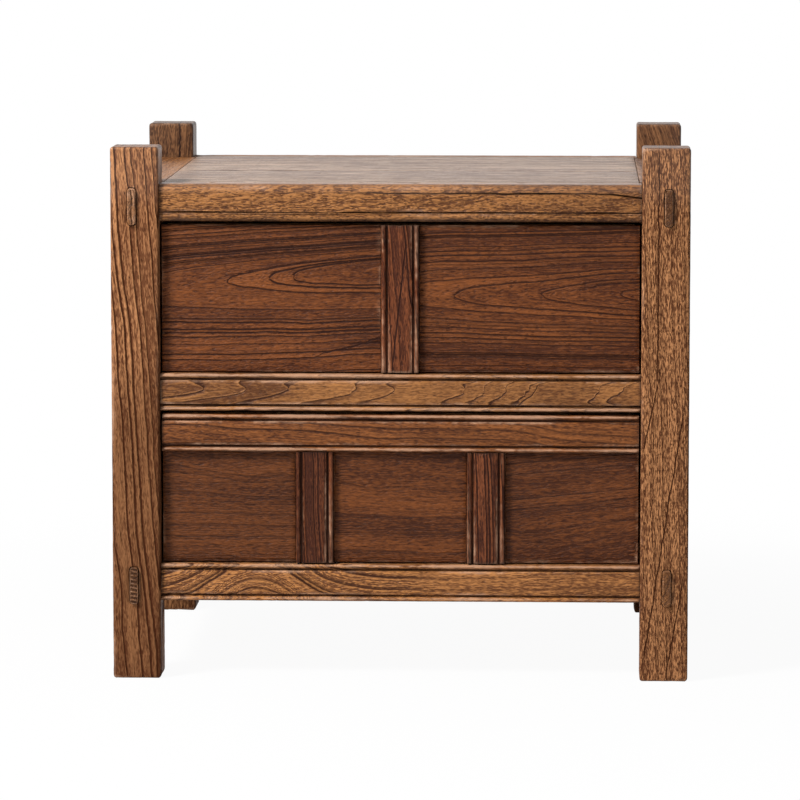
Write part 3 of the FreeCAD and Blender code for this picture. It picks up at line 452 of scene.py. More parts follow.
def growth_rings(field):
    """Year rings: a line of even width with a pale rim, a painted highlight as of the lit lip of a groove,
    feathered late wood and a tone for each ring.
    """
    tree, graph, given, put_out = new_group(
        "growth rings", (*RINGS, "seed", "line"), ("lines", "rims", "feather", "tone"))

    def years_at(*offset):
        place = graph.vector("ADD", given.vector, offset)
        return graph.place(field, vector=place, **picked(given, (*RINGS, "seed"))).years

    years = years_at(0, 0, 0)
    along = graph.minus(years_at(SLOPE_STEP, 0, 0), years)
    across = graph.minus(years_at(0, SLOPE_STEP, 0), years)
    slope = graph.math("SQRT", graph.pile(graph.times(across, across), (along, along)))
    slope = graph.over(graph.most(slope, 0.004), SLOPE_STEP)
    year = graph.plus(graph.math("FLOOR", years), given.seed)
    phase = graph.math("FRACT", years)
    chance = graph.add("TexWhiteNoise", {"W": year}, noise_dimensions="1D").outputs["Value"]
    place = graph.shift(given.vector, given.seed, (1.1, 2.9, 0.3))
    ragged = graph.noise(place, (160, 600, 600), detail=1.0)
    past = graph.over(phase, slope)
    ahead = graph.over(graph.minus(1.0, phase), slope)
    width = graph.times(given.line, graph.pile(1.0, (ragged, 1.6)))
    width = graph.times(width, graph.ramp(chance, 0.0, 1.0, 0.7, 1.3))
    falling = graph.ramp(past, graph.times(width, 0.3), width, 1.0, 0.0)
    rising = graph.ramp(ahead, 0.0, graph.times(width, 0.45), 1.0, 0.0)
    bold = graph.ramp(chance, 0.0, 0.5, 0.6, 1.0)
    line = graph.times(graph.most(falling, rising), bold)
    # The pale rim beside each line is a painted highlight, as if the lamp caught the lip of the groove.
    rim_highlight = graph.ramp(ahead, graph.times(width, 0.5), graph.times(width, 1.7), 1.0, 0.0)
    rim_highlight = graph.times(graph.minus(rim_highlight, line, clamp=True), bold)
    bands = graph.pile(graph.times(years, 5.0), (ragged, 1.5))
    feather = graph.ramp(graph.math("PINGPONG", bands, 0.5), 0.12, 0.42)
    patch = graph.noise(place, (5, 30, 30), detail=2.0)
    fading = graph.ramp(past, 0.0, 0.0045, 1.0, 0.0)
    tone = graph.pile(graph.times(patch, 1.3), (graph.minus(chance, 0.5), 0.3), (fading, -0.22))
    put_out(lines=line, rims=rim_highlight, feather=feather, tone=tone)
    return tree


def open_pores():
    """Short dashes along the grain, streaks and specks between them and light flecks."""
    tree, graph, given, put_out = new_group(
        "open pores", ("length", "amount", "seed"), ("dashes", "streaks", "specks", "flecks"))
    place = graph.shift(given.vector, given.seed, (0.31, 0.17, 0.23))
    bent = graph.noise(place, (60, 160, 160), detail=1.0)
    place = graph.shift(place, bent, (0, 0.0022, 0.0022))
    cell = graph.add("CombineXYZ", {0: given.length, 1: PORE_WIDTH, 2: PORE_WIDTH}).outputs[0]
    spots = graph.add("TexVoronoi", {"Vector": graph.vector("DIVIDE", place, cell), "Scale": 1.0}).outputs
    chance = graph.add("SeparateColor", {"Color": spots["Color"]}).outputs

    def spot(reach, core):
        return graph.ramp(spots["Distance"], graph.times(reach, core), reach, 1.0, 0.0)

    streaks = graph.noise(place, (34, 430, 430), detail=3.0, roughness=0.6)
    specks = graph.noise(place, (170, 880, 880), detail=1.0)
    put_out(dashes=spot(graph.ramp(chance[0], 0.0, given.amount, 0.6, 0.0), 0.5),
            flecks=spot(graph.ramp(chance[1], 0.5, 1.0, 0.0, 0.38), 0.4),
            streaks=graph.ramp(streaks, -0.14, 0.14, -1.0, 1.0),
            specks=graph.ramp(specks, -0.14, 0.14, -1.0, 1.0))
    return tree


def handling():
    """Where hands and knocks have rubbed the stain off, with the painted highlight on the beads, and where
    dirt has settled, with painted shade under the beads, under the top rail and on the posts' right-facing
    arrises, by the piece's marks.
    """
    tree, graph, given, put_out = new_group("handling", ("seed",), ("worn", "dirt"))
    place = graph.shift(given.vector, given.seed, (0.7, 1.1, 0.4))
    patchy = graph.noise(place, (30, 90, 90), detail=4.0, roughness=0.65)
    # The worn mark, and so rubbed, holds the beads' painted highlight as well as real wear.
    rubbed = graph.times(graph.mark("worn"), graph.pile(0.8, (patchy, 2.2)), clamp=True)
    # settled holds painted shade as well as dirt.
    settled = graph.times(graph.mark("hollow"), graph.pile(0.9, (patchy, 1.6)), clamp=True)
    put_out(worn=graph.ramp(rubbed, 0.1, 0.9), dirt=settled)
    return tree


def drying_check():
    """One long crack that follows the grain and tapers out at its ends."""
    tree, graph, given, put_out = new_group("drying check", Check._fields, ("crack",))
    axes = graph.axes(given.vector)
    only_along = graph.vector("MULTIPLY", given.vector, (1, 0, 0))
    bend = graph.noise(only_along, (30, 1, 1), detail=4.0, roughness=0.6)
    line = graph.pile(given.across, (axes[0], given.lean), (bend, given.stray))
    off = graph.math("ABSOLUTE", graph.minus(axes[1], line))
    taper = 0.03
    ends = graph.times(graph.ramp(axes[0], given.start, graph.plus(given.start, taper)),
                       graph.ramp(axes[0], given.end, graph.minus(given.end, taper)))
    reach = graph.times(given.width, ends)
    put_out(crack=graph.ramp(off, graph.times(reach, 0.3), graph.plus(reach, 0.00002), 1.0, 0.0))
    return tree


def old_elm(rings, pores, handled_and_shaded):
    """Stained, brushed and waxed elm, as colour, roughness and height."""
    tree, graph, given, put_out = new_group(
        "old elm", (*RINGS, *FIGURE, "seed", "crack", "end_grain", "fade"), ("color", "roughness", "height"),
        colors=("stain", "grain", "pale", "worn_wood", "dirt"))
    ring = graph.place(rings, vector=given.vector, **picked(given, (*RINGS, "seed", "line")))
    line = graph.times(ring.lines, given.lines)
    pore = graph.place(pores, vector=given.vector, length=given.pore_length,
                       amount=graph.pile(given.pores, (line, 0.4)), seed=given.seed)
    hands = graph.place(handled_and_shaded, vector=given.vector, seed=given.seed)
    feather = graph.times(graph.minus(ring.feather, 0.4), given.feather)
    tone = graph.pile(ring.tone, (pore.streaks, given.streaks), (pore.specks, given.specks))
    tone = graph.plus(graph.minus(tone, feather), 0.45, clamp=True)
    # rims is the pale band beside each ring line: a painted highlight, as of a lit groove lip, also raised
    # in the relief.
    rims = graph.times(ring.rims, given.lines)
    flecks = graph.times(pore.flecks, given.flecks)
    deep = graph.most(line, given.crack)
    darker, lighter = graph.mix(0.7, given.stain, given.grain), graph.mix(0.85, given.stain, given.pale)
    color = graph.mix(tone, darker, lighter)
    coats = (
        (graph.times(rims, 0.5), given.pale),
        (flecks, given.pale),
        (graph.times(pore.dashes, 0.6), given.grain),
        (deep, given.grain),
        (graph.times(given.end_grain, 0.35), given.grain),
        (given.fade, given.grain),
        # The worn wood coat paints rubbed arrises and the beads' painted highlight.
        (graph.times(hands.worn, 0.6), given.worn_wood),
        # The last coat paints dirt, and painted shade under the beads and on the posts' right-facing
        # arrises.
        (graph.times(hands.dirt, 0.85), given.dirt),
    )
    for cover, coat in coats:
        color = graph.mix(cover, color, coat)
    roughness = graph.pile(0.4, (deep, 0.25), (hands.dirt, 0.25), (pore.streaks, -0.07))
    low = graph.plus(deep, graph.times(pore.dashes, 0.6))
    low = graph.pile(low, (feather, 0.9), (pore.streaks, -0.2), (pore.specks, -0.12),
                     (graph.most(rims, flecks), -0.4))
    put_out(color=color, roughness=roughness, height=graph.minus(1.0, low))
    return tree


# Materials
class Wax(NamedTuple):
    """A coat of wax that sets in along one of the piece's own axes: 0 is along the grain and 1 across it."""

    axis: int
    start: float
    end: float
    amount: float


GROUPS = {}
# What the stain is multiplied by where the wood is palest
PALE = (1.7, 1.95, 1.85)
GRAIN_RELIEF = {"Strength": 0.8, "Distance": 0.0009}
WAX_ROUGHNESS = 0.3


def wood_groups():
    """The node groups for the wood and for a crack in it, made when the first piece needs them."""
    if not GROUPS:
        GROUPS["elm"] = old_elm(growth_rings(ring_field()), open_pores(), handling())
        GROUPS["check"] = drying_check()
    return GROUPS["elm"], GROUPS["check"]


def tinted(color, factors=(1, 1, 1)):
    """A colour multiplied channel by channel, as opaque as a shader wants it."""
    return *(min(1.0, channel * factor) for channel, factor in zip(color, factors)), 1.0


def new_material(name):
    """A material, its graph, its shader and a point's place on the piece."""
    material = bpy.data.materials.new(name)
    material.use_nodes = True
    graph = Graph(material.node_tree)
    place = graph.add("TexCoord").outputs["Object"]
    return material, graph, material.node_tree.nodes["Principled BSDF"], place


def log_frame(node, grain, facing, sawn):
    """Place and turn of the log that the piece was sawn from, and of the piece's own face."""
    low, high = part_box(node)
    along, out = AXES[grain], Vector(facing)
    across = out.cross(along)
    face = (low + high) / 2 + out * abs(out.dot((high - low) / 2))
    origin = face + across * sawn.across - out * sawn.behind
    run = (along + across * sawn.veer - out * sawn.dive).normalized()
    side = (across - run * across.dot(run)).normalized()
    turn = Matrix((run, side, run.cross(side))).transposed()
    plain_turn = Matrix((along, across, out)).transposed()
    return (origin, turn.to_euler()), (face, plain_turn.to_euler())


def wood_material(node, grain, facing, stain, gloss=None, wax=None):
    """Elm for one piece, with the pattern of its own place in the log."""
    finish = settings("finish")
    sawn = SAWN.get(node, INNER_WOOD)
    elm, crack_in_elm = wood_groups()
    material, graph, shader, place = new_material("elm_" + node)

    def seen_from(location, rotation):
        inputs = {"Vector": place, "Location": location, "Rotation": rotation}
        return graph.add("Mapping", inputs, vector_type="TEXTURE").outputs[0]

    log, face = log_frame(node, grain, facing, sawn)
    own_place = seen_from(*face)
    own_axes = graph.axes(own_place)
    along = own_axes[0]
    values = picked(sawn, (*RINGS, *FIGURE))
    values["vector"] = seen_from(*log)
    values["seed"] = sum(ord(letter) * number for number, letter in enumerate(node, start=1)) % 97
    values["stain"] = tinted(stain, (sawn.shade,) * 3)
    values["grain"] = tinted(values["stain"], finish.grain)
    values["pale"] = tinted(values["stain"], PALE)
    values["worn_wood"] = tinted(finish.worn)
    values["dirt"] = tinted(finish.dirt)
    values["crack"] = 0.0
    for check in CHECKS.get(node, ()):
        found = graph.place(crack_in_elm, vector=own_place, **check._asdict()).crack
        values["crack"] = graph.most(found, values["crack"])
    if sawn.fade:
        values["fade"] = graph.ramp(along, -0.02, 0.08, sawn.fade, 0.0)
    if sawn.fade_end:
        values["fade"] = graph.ramp(along, 0.03, 0.2, 0.0, sawn.fade_end)
    if sawn.calm:
        for name in ("lines", "feather"):
            values[name] = graph.ramp(along, -0.01, 0.05, values[name], values[name] * (1 - sawn.calm))
    normal = graph.add("NewGeometry").outputs["Normal"]
    towards = graph.add("VectorMath", {0: normal, 1: AXES[grain]}, operation="DOT_PRODUCT").outputs["Value"]
    values["end_grain"] = graph.ramp(graph.math("ABSOLUTE", towards), 0.5, 0.95)
    surface = graph.place(elm, **values)
    bump = graph.add("Bump", {**GRAIN_RELIEF, "Height": surface.height})
    graph.fill(shader, {"Base Color": surface.color, "Roughness": surface.roughness,
                        "Specular IOR Level": finish.gloss if gloss is None else gloss,
                        "Normal": bump.outputs[0]})
    if wax:
        coat = graph.ramp(own_axes[wax.axis], wax.start, wax.end, 0.0, wax.amount)
        graph.fill(shader, {"Coat Weight": coat, "Coat Roughness": WAX_ROUGHNESS})
    return material


def steel_material():
    finish = settings("finish")
    material, graph, shader, place = new_material("dull_steel")
    mapping = graph.add("Mapping", {"Vector": place, "Scale": (900, 900, 900)})
    grey = graph.noise(mapping.outputs[0], detail=3.0)
    tone = graph.pile(0.5, (grey, 0.8), clamp=True)
    color = graph.mix(tone, tinted(finish.steel, (0.5, 0.5, 0.5)), tinted(finish.steel))
    graph.fill(shader, {"Base Color": color, "Roughness": graph.pile(0.42, (grey, 0.3)), "Metallic": 1.0})
    return material


# Mesh work that the pieces share
def start_block(low, high):
    """A block between two corners."""
    mesh = bmesh.new()
    bmesh.ops.create_cube(mesh, size=1)
    bmesh.ops.scale(mesh, vec=high - low, verts=mesh.verts)
    bmesh.ops.translate(mesh, vec=(low + high) / 2, verts=mesh.verts)
    return mesh


def draw_out(mesh, faces, move, **options):
    drawn = bmesh.ops.extrude_face_region(mesh, geom=faces, **options)
    moved = [item for item in drawn["geom"] if isinstance(item, bmesh.types.BMVert)]
    bmesh.ops.translate(mesh, vec=move, verts=moved)


def start_moulding(outline, low, across, start, end):
    """A moulding, drawn out along the grain from start to end. The outline's corners are places across the
    face and behind it, from the piece's low corner."""
    mesh = bmesh.new()
    grain = X if across == Z else Z
    verts = []
    for place, behind in outline:
        point = AXES[grain] * start
        point[across] = low[across] + place
        point.y = low.y + behind
        verts.append(mesh.verts.new(point))
    draw_out(mesh, [mesh.faces.new(verts)], AXES[grain] * (end - start), use_keep_orig=True)
    bmesh.ops.recalc_face_normals(mesh, faces=mesh.faces[:])
    return mesh


def slice_at(mesh, axis, place, geom=None):
    """Cuts the mesh, or the part of it that is given, by a plane across an axis."""
    if geom is None:
        geom = mesh.verts[:] + mesh.edges[:] + mesh.faces[:]
    bmesh.ops.bisect_plane(mesh, geom=geom, dist=1e-6, plane_co=AXES[axis] * place, plane_no=AXES[axis])


def slice_evenly(mesh, axis, step, low=None, high=None):
    places = [vert.co[axis] for vert in mesh.verts]
    low = min(places) if low is None else low
    high = max(places) if high is None else high
    count = max(1, round((high - low) / step))
    for number in range(1, count):
        slice_at(mesh, axis, low + (high - low) * number / count)


def near(value, *places):
    return any(abs(value - place) < HAIR for place in places)


def faces_within(mesh, axis, sign, low, high):
    """Faces that look along an axis and whose middles lie between two corners, once cut at their borders."""
    others = [other for other in (X, Y, Z) if other != axis]
    for other in others:
        slice_at(mesh, other, low[other])
        slice_at(mesh, other, high[other])
    mesh.normal_update()
    found = []
    for face in mesh.faces:
        middle = face.calc_center_median()
        inside = all(low[other] - HAIR < middle[other] < high[other] + HAIR for other in others)
        if inside and face.normal[axis] * sign > 0.99:
            found.append(face)
    return found


def grow(mesh, axis, sign, low, high, length, at=None):
    """Draws part of an end out into a tenon or tongue, or in to a groove where the length is negative."""
    faces = faces_within(mesh, axis, sign, low, high)
    if at is not None:
        faces = [face for face in faces if near(face.calc_center_median()[axis], at)]
    draw_out(mesh, faces, AXES[axis] * sign * length)


def pierce(mesh, axis, low, high):
    """A square hole right through, along an axis."""
    entry = faces_within(mesh, axis, -1, low, high)
    leave = faces_within(mesh, axis, 1, low, high)
    rims = []
    for faces in (entry, leave):
        rims += [edge for edge in mesh.edges if sum(face in faces for face in edge.link_faces) == 1]
    bmesh.ops.delete(mesh, geom=entry + leave, context="FACES_ONLY")
    bmesh.ops.bridge_loops(mesh, edges=rims)


def is_sharp(edge):
    return len(edge.link_faces) == 2 and edge.calc_face_angle() > 0.6


def runs_along(edge, axis):
    return abs((edge.verts[0].co - edge.verts[1].co).normalized()[axis]) > 0.999


def middle_of(edge):
    return (edge.verts[0].co + edge.verts[1].co) / 2


def edges_at(axis, place, along=None):
    """Chooses the edges at a place on an axis, and of them those that run along another."""
    def chosen(edge):
        return near(middle_of(edge)[axis], place) and (along is None or runs_along(edge, along))

    return chosen


def settle(mesh):
    """Puts a mesh in an order that only its points' places decide, so that each run bevels it alike."""
    bmesh.ops.remove_doubles(mesh, verts=mesh.verts, dist=HAIR)
    mesh.verts.sort(key=lambda vert: vert.co.dot(UNEVEN))
    mesh.edges.sort(key=lambda edge: middle_of(edge).dot(UNEVEN))
    mesh.faces.sort(key=lambda face: face.calc_center_median().dot(UNEVEN))
    for items in (mesh.verts, mesh.edges, mesh.faces):
        items.index_update()
    data = bpy.data.meshes.new("settled")
    mesh.to_mesh(data)
    mesh.clear()
    mesh.from_mesh(data)
    bpy.data.meshes.remove(data)


def ease(mesh, width, segments, chosen):
    """Rounds the sharp edges that are chosen."""
    settle(mesh)
    mesh.normal_update()
    edges = [edge for edge in mesh.edges if is_sharp(edge) and chosen(edge)]
    bmesh.ops.bevel(mesh, geom=edges, offset=width, offset_type="OFFSET", segments=segments, profile=0.5,
                    affect="EDGES", clamp_overlap=True, material=-1)


# Waves of the wear's three noises in a metre, and how far from a neighbour the darkening, dirt and painted
# shade, or a hand's rubbing reaches
SLOW_WAVES, BRISK_WAVES, QUICK_WAVES = 17, 62, 210
DIRT_AND_SHADE_REACH = 0.0035
RUB_REACH = 0.009


def bend_at(vert):
    """How far the surface bends away at a point: above 0 on an arris, below 0 where it bends inwards."""
    offsets = [edge.other_vert(vert).co - vert.co for edge in vert.link_edges]
    return -sum(offset.normalized().dot(vert.normal) for offset in offsets) / max(1, len(offsets))


def closeness(vert, planes, reach):
    """1 on the nearest of some planes across an axis, falling to 0 at reach."""
    away = min((abs(vert.co[axis] - place) for axis, place in planes), default=1.0)
    return max(0.0, 1 - away / reach)


def weather(mesh, node, rub=1.0, seats=(), rubbed=(), beads=(), lee_shade=0.0):
    """Ripples the faces, rubs the arrises unevenly and marks each point with its wear and painted highlight,
    and with its dirt and painted shade.

    seats are pairs of an axis and a place where the piece meets its neighbour, and dirt has settled; on the
    top rail they also mark the underside of its bead, which gets painted shade. rubbed are places of the
    same kind that hands have rubbed. beads hold an axis, where a bead starts and ends and how far it is
    polished; the polishing is laid on most where the bead faces up and left, towards the lamp, as a painted
    highlight, and its underside gets painted shade. The last argument paints shade on the arrises that face
    right, away from the lamp.
    """
    wear = settings("wear")
    seed = sum(ord(letter) for letter in node) % 53
    mesh.normal_update()
    # The worn mark holds rubbed arrises and the beads' painted highlight; the next mark holds dirt and
    # painted shade.
    worn = mesh.verts.layers.float.new("worn")
    hollow = mesh.verts.layers.float.new("hollow")
    shift = Vector((seed * 3.71, seed * 1.37, seed * 2.93))
    moves = []
    for vert in mesh.verts:
        bend = bend_at(vert)
        slow, brisk, quick = (noise.noise(vert.co * waves + shift)
                              for waves in (SLOW_WAVES, BRISK_WAVES, QUICK_WAVES))
        arris = min(1.0, max(0.0, bend) * 6)
        chipped = max(0.0, brisk + 0.5 * quick - 0.28) * 2.2
        depth = wear.rub * rub * arris * (0.35 + 0.5 * slow + 0.3 * quick) + wear.nick * arris * chipped
        ripple = min(0.0, wear.ripple * (0.6 * slow + 0.4 * brisk - 0.35))
        moves.append(vert.normal * (ripple - max(0.0, depth)))
        # Painted shade: arrises that face right, away from the lamp at the upper left, are darkened and kept
        # from paling.
        shaded_arris = lee_shade * arris * max(0.0, vert.normal.x)
        pale = arris * (0.55 + 0.9 * slow + 0.5 * quick) - shaded_arris
        pale += 0.35 * closeness(vert, rubbed, RUB_REACH) * (0.9 + brisk + 0.6 * quick)
        # Darkened in hollows as dirt and painted shade, in seams as dirt, and under the top rail's bead and
        # on the right-facing arrises as painted shade.
        dirt_and_shade_amount = max(0.0, -bend) * 7 + 0.8 * closeness(vert, seats, DIRT_AND_SHADE_REACH) + shaded_arris
        polish = max((amount for axis, start, end, amount in beads if start <= vert.co[axis] <= end),
                     default=0.0)
        # Painted highlight: the bead is paled most where it faces up and left, towards the lamp, on top of
        # its real polishing; its underside, turned away, is darkened as painted shade.
        if polish and bend > -0.02:
            lit = vert.normal.z - vert.normal.x
            crown = math.exp(-((lit - 0.25) / 0.45) ** 2)
            pale += wear.polish * polish * crown * (1.0 + 0.8 * slow + 0.7 * quick)
            dirt_and_shade_amount += max(0.0, -lit - 0.2)
        vert[worn] = max(0.0, min(1.0, pale))
        vert[hollow] = min(1.0, dirt_and_shade_amount)
    for vert, move in zip(mesh.verts, moves):
        vert.co += move


def add_object(name, data):
    thing = bpy.data.objects.new(name, data)
    bpy.context.scene.collection.objects.link(thing)
    return thing


def set_down(mesh, name, material):
    """Turns the mesh into an object of one material."""
    data = bpy.data.meshes.new(name)
    mesh.to_mesh(data)
    mesh.free()
    data.materials.append(material)
    return add_object(name, data)


def add_piece(mesh, node, material):
    """Turns the mesh into the piece that stands for a node."""
    mesh.normal_update()
    for face in mesh.faces:
        face.smooth = True
    for edge in mesh.edges:
        edge.smooth = len(edge.link_faces) != 2 or edge.calc_face_angle() < 0.7
    piece = set_down(mesh, node + "_worn", material)
    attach(piece, frame["nodes"][node]["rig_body"])
    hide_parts(node)


# Places that the pieces take from each other
def side_of(node):
    return "left" if node.endswith("left") else "right"


def outwards(node):
    return TO_LEFT if side_of(node) == "left" else TO_RIGHT


def between_posts():
    """The posts' inner faces: half the width and half the depth between them."""
    low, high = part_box("post_front_right")
    return low.x, -high.y


def through_tenon(side, level):
    """Low and high corner of a side rail's tenon, front to back."""
    joinery = settings("joinery")
    rail_low, rail_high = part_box(f"{level}_rail_{side}")
    post_low, post_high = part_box("post_front_" + side)
    if side == "left":
        outer = post_low.x + joinery.through_inset
        low_x, high_x = outer, outer + joinery.through_thickness
    else:
        outer = post_high.x - joinery.through_inset
        low_x, high_x = outer - joinery.through_thickness, outer
    top = rail_high.z - joinery.through_shoulder
    return Vector((low_x, rail_low.y, rail_low.z)), Vector((high_x, rail_high.y, top))


# Posts
def make_post(node):
    """A post, mortised for the side rails, with wax where hands take hold of it above the top."""
    moulding = settings("mouldings")
    finish = settings("finish")
    low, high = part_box(node)
    mesh = start_block(low, high)
    slack = Vector((0.0003, 0, 0.0003))
    for level in ("bottom", "top"):
        tenon_low, tenon_high = through_tenon(side_of(node), level)
        pierce(mesh, Y, tenon_low - slack, tenon_high + slack)

    def on_corner(edge):
        return runs_along(edge, Z) and near(middle_of(edge).x, low.x, high.x)

    def in_mortise(edge):
        return runs_along(edge, Y) and low.z + 0.001 < middle_of(edge).z < high.z - 0.001

    ease(mesh, settings("joinery").through_round, 3, in_mortise)
    ease(mesh, moulding.post_easing, 4, on_corner)
    ease(mesh, moulding.end_easing, 3, edges_at(Z, high.z))
    ease(mesh, moulding.foot_easing, 3, edges_at(Z, low.z))
    slice_evenly(mesh, Z, step=0.004)
    for axis in (X, Y):
        slice_evenly(mesh, axis, step=0.009)
    # Paints shade on the posts' arrises that face right, away from the lamp.
    weather(mesh, node, rub=1.3, lee_shade=0.9)
    top_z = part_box("top_board_front")[1].z - (low.z + high.z) / 2
    wax = Wax(0, top_z - 0.03, top_z, finish.post_wax)
    facing = TO_FRONT if "front" in node else TO_BACK
    add_piece(mesh, node, wood_material(node, Z, facing, finish.post, gloss=finish.post_gloss, wax=wax))


class NIGHTSTAND_OT_posts(bpy.types.Operator):
    """Make the four posts, mortised for the side rails"""

    bl_idname = "nightstand.posts"
    bl_label = "Make posts"

    def execute(self, context):
        for end in ("front", "back"):
            for side in ("left", "right"):
                make_post(f"post_{end}_{side}")
        return {"FINISHED"}


# Moulded rails and mullions
def beaded_outline(width, thickness):
    """Section across the beads: how far along the width, and how far behind the crown."""
    moulding = settings("mouldings")
    bead, quirk, lean = moulding.bead, moulding.quirk, moulding.lean
    depth, drop = moulding.quirk_depth, moulding.field_drop
    half = [
        (0, thickness),
        (0, 0),
        (bead, 0),
        (bead + lean, depth),
        (bead + quirk - lean, depth),
        (bead + quirk, drop),
        (bead + quirk + moulding.field_round / 2, drop * 0.25),
        (bead + quirk + moulding.field_round, 0),
    ]
    return half + [(width - place, behind) for place, behind in reversed(half)]


def top_rail_outline(height, thickness):
    """Section of the top rail: bead, flat face between two grooves, and a rounded upper edge."""
    moulding = settings("mouldings")
    bead, quirk, lean = moulding.top_bead, moulding.top_quirk, moulding.lean
    depth = moulding.quirk_depth
    round_low = height - moulding.top_round_height
    return [
        (0, thickness),
        (0, 0),
        (bead, 0),
        (bead + lean, depth),
        (bead + quirk - lean, depth),
        (bead + quirk, 0),
        (round_low - quirk, 0),
        (round_low - quirk + lean, depth),
        (round_low - lean, depth),
        (round_low, 0),
        (height, 0),
        (height, thickness),
    ]


# How far hands have polished the bead at the low and at the high edge, which also sets the painted highlight
# on its lit side
BEAD_POLISH_AND_HIGHLIGHT = {
    "mid_rail_front": (1.1, 1.5),
    "bottom_rail_front": (0.5, 1.2),
    "lower_face_rail": (1.1, 1.25),
    "upper_mullion": (0.35, 0.35),
    "lower_mullion_left": (0.08, 0.08),
    "lower_mullion_right": (0.08, 0.08),
}


def make_beaded(node, across, start, end, stain):
    """A rail or mullion with a bead and a groove along both edges, from start to end along its grain."""
    moulding = settings("mouldings")
    low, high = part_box(node)
    grain = X if across == Z else Z
    outline = beaded_outline(high[across] - low[across], high.y - low.y)
    mesh = start_moulding(outline, low, across, start, end)
    ends = (low[across], high[across])

    def on_bead(edge):
        middle = middle_of(edge)
        place = middle[across]
        at_bead = any(near(abs(place - end), 0, moulding.bead) for end in ends)
        return near(middle.y, low.y) and at_bead

    ease(mesh, moulding.bead * 0.46, 4, on_bead)
    slice_evenly(mesh, grain, step=0.003)
    slice_evenly(mesh, across, 0.004, low[across] + moulding.bead + moulding.quirk,
                 high[across] - moulding.bead - moulding.quirk)
    low_polish_and_highlight, high_polish_and_highlight = BEAD_POLISH_AND_HIGHLIGHT[node]
    beads = ((across, low[across], low[across] + moulding.bead, low_polish_and_highlight),
             (across, high[across] - moulding.bead, high[across], high_polish_and_highlight))
    weather(mesh, node, rub=0.9, seats=((grain, start), (grain, end)), beads=beads)
    add_piece(mesh, node, wood_material(node, grain, TO_FRONT, stain))


def make_beaded_rail(node, stain):
    low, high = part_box(node)
    inner, _ = between_posts()
    make_beaded(node, Z, max(low.x, -inner), min(high.x, inner), stain)


def make_mullion(node):
    low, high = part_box(node)
    top = high.z if node == "upper_mullion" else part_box("lower_face_rail")[0].z
    make_beaded(node, X, low.z, top, settings("finish").mullion)


def lead_groove(mesh, crown, level, course):
    """Moves a groove up or down and makes it shallower, as its course says for each place along it."""
    reach, fading, half_width, deepest = 0.009, 0.0075, 0.0013, 0.006
    for vert in mesh.verts:
        away = abs(vert.co.z - level)
        if away > reach or vert.co.y > crown + deepest:
            continue
        rise, depth = course(vert.co.x)
        if away < half_width and vert.co.y > crown + HAIR:
            vert.co.y = crown + (vert.co.y - crown) * depth
        vert.co.z += rise * min(1.0, (reach - away) / fading)


def upper_groove(place):
    """Hardly cut at the left, and dips and wavers towards the right end."""
    waver = noise.noise(Vector((place * 55, 3.1, 0))) * 0.0009
    dip = 0.0044 * math.exp(-((place - 0.231) / 0.02) ** 2)
    depth = 0.7 / (1 + math.exp(-(place - 0.06) / 0.04))
    return waver - dip, min(1.0, max(0.02, depth * (1 + 1.6 * noise.noise(Vector((place * 23, 9.7, 0))))))


def lower_groove(place):
    """Worn away in places."""
    worn_off = noise.noise(Vector((place * 37, 5.3, 0)))
    return worn_off * 0.0005, min(1.0, max(0.15, 0.6 + 1.1 * worn_off))


def make_top_rail(node):
    """The top rail, whose upper groove was cut by hand and wanders."""
    moulding = settings("mouldings")
    finish = settings("finish")
    low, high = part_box(node)
    inner, _ = between_posts()
    height = high.z - low.z
    crown = low.y
    mesh = start_moulding(top_rail_outline(height, high.y - low.y), low, Z, -inner, inner)

    def on_crown(edge):
        return near(middle_of(edge).y, crown)

    def on_bead(edge):
        return on_crown(edge) and near(middle_of(edge).z - low.z, 0, moulding.top_bead)

    def on_top(edge):
        return on_crown(edge) and near(middle_of(edge).z, high.z)

    def on_face(edge):
        return on_crown(edge) and moulding.top_bead + 1e-4 < middle_of(edge).z - low.z < height - 1e-4

    ease(mesh, moulding.top_bead * 0.4, 4, on_bead)
    ease(mesh, moulding.top_round_depth, 6, on_top)
    ease(mesh, 0.0007, 2, on_face)
    slice_evenly(mesh, X, step=0.003)
    face_low = low.z + moulding.top_bead + moulding.top_quirk
    face_high = high.z - moulding.top_round_height - moulding.top_quirk
    slice_evenly(mesh, Z, 0.004, face_low, face_high)
    lead_groove(mesh, crown, face_high + moulding.top_quirk / 2, upper_groove)
    lead_groove(mesh, crown, face_low - moulding.top_quirk / 2, lower_groove)
    # The seats along the rail's bottom paint shade under its bead; the bead values also set its painted
    # highlight.
    weather(mesh, node, rub=0.9, seats=((X, -inner), (X, inner), (Z, low.z), (Z, low.z + 0.002)),
            beads=((Z, low.z, low.z + moulding.top_bead, 0.02),
                   (Z, high.z - moulding.top_round_height, high.z, 0.17)))
    edge = height / 2 - moulding.top_round_height
    wax = Wax(1, edge - 0.003, edge + 0.003, finish.round_wax)
    add_piece(mesh, node, wood_material(node, X, TO_FRONT, finish.rail, wax=wax))


class NIGHTSTAND_OT_front_rails(bpy.types.Operator):
    """Make the moulded rails of the front"""

    bl_idname = "nightstand.front_rails"
    bl_label = "Make front rails"

    def execute(self, context):
        finish = settings("finish")
        make_top_rail("top_rail_front")
        make_beaded_rail("mid_rail_front", finish.rail)
        make_beaded_rail("bottom_rail_front", finish.rail)
        return {"FINISHED"}


# Plain rails, boards and panels
def make_back_rail(node):
    low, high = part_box(node)
    inner, _ = between_posts()
    low.x, high.x = -inner, inner
    mesh = start_block(low, high)
    ease(mesh, settings("mouldings").rail_easing, 3, edges_at(Y, high.y, along=X))
    slice_evenly(mesh, X, step=0.006)
    slice_evenly(mesh, Z, step=0.009)
    weather(mesh, node, seats=((X, -inner), (X, inner)))
    add_piece(mesh, node, wood_material(node, X, TO_BACK, settings("finish").rail))


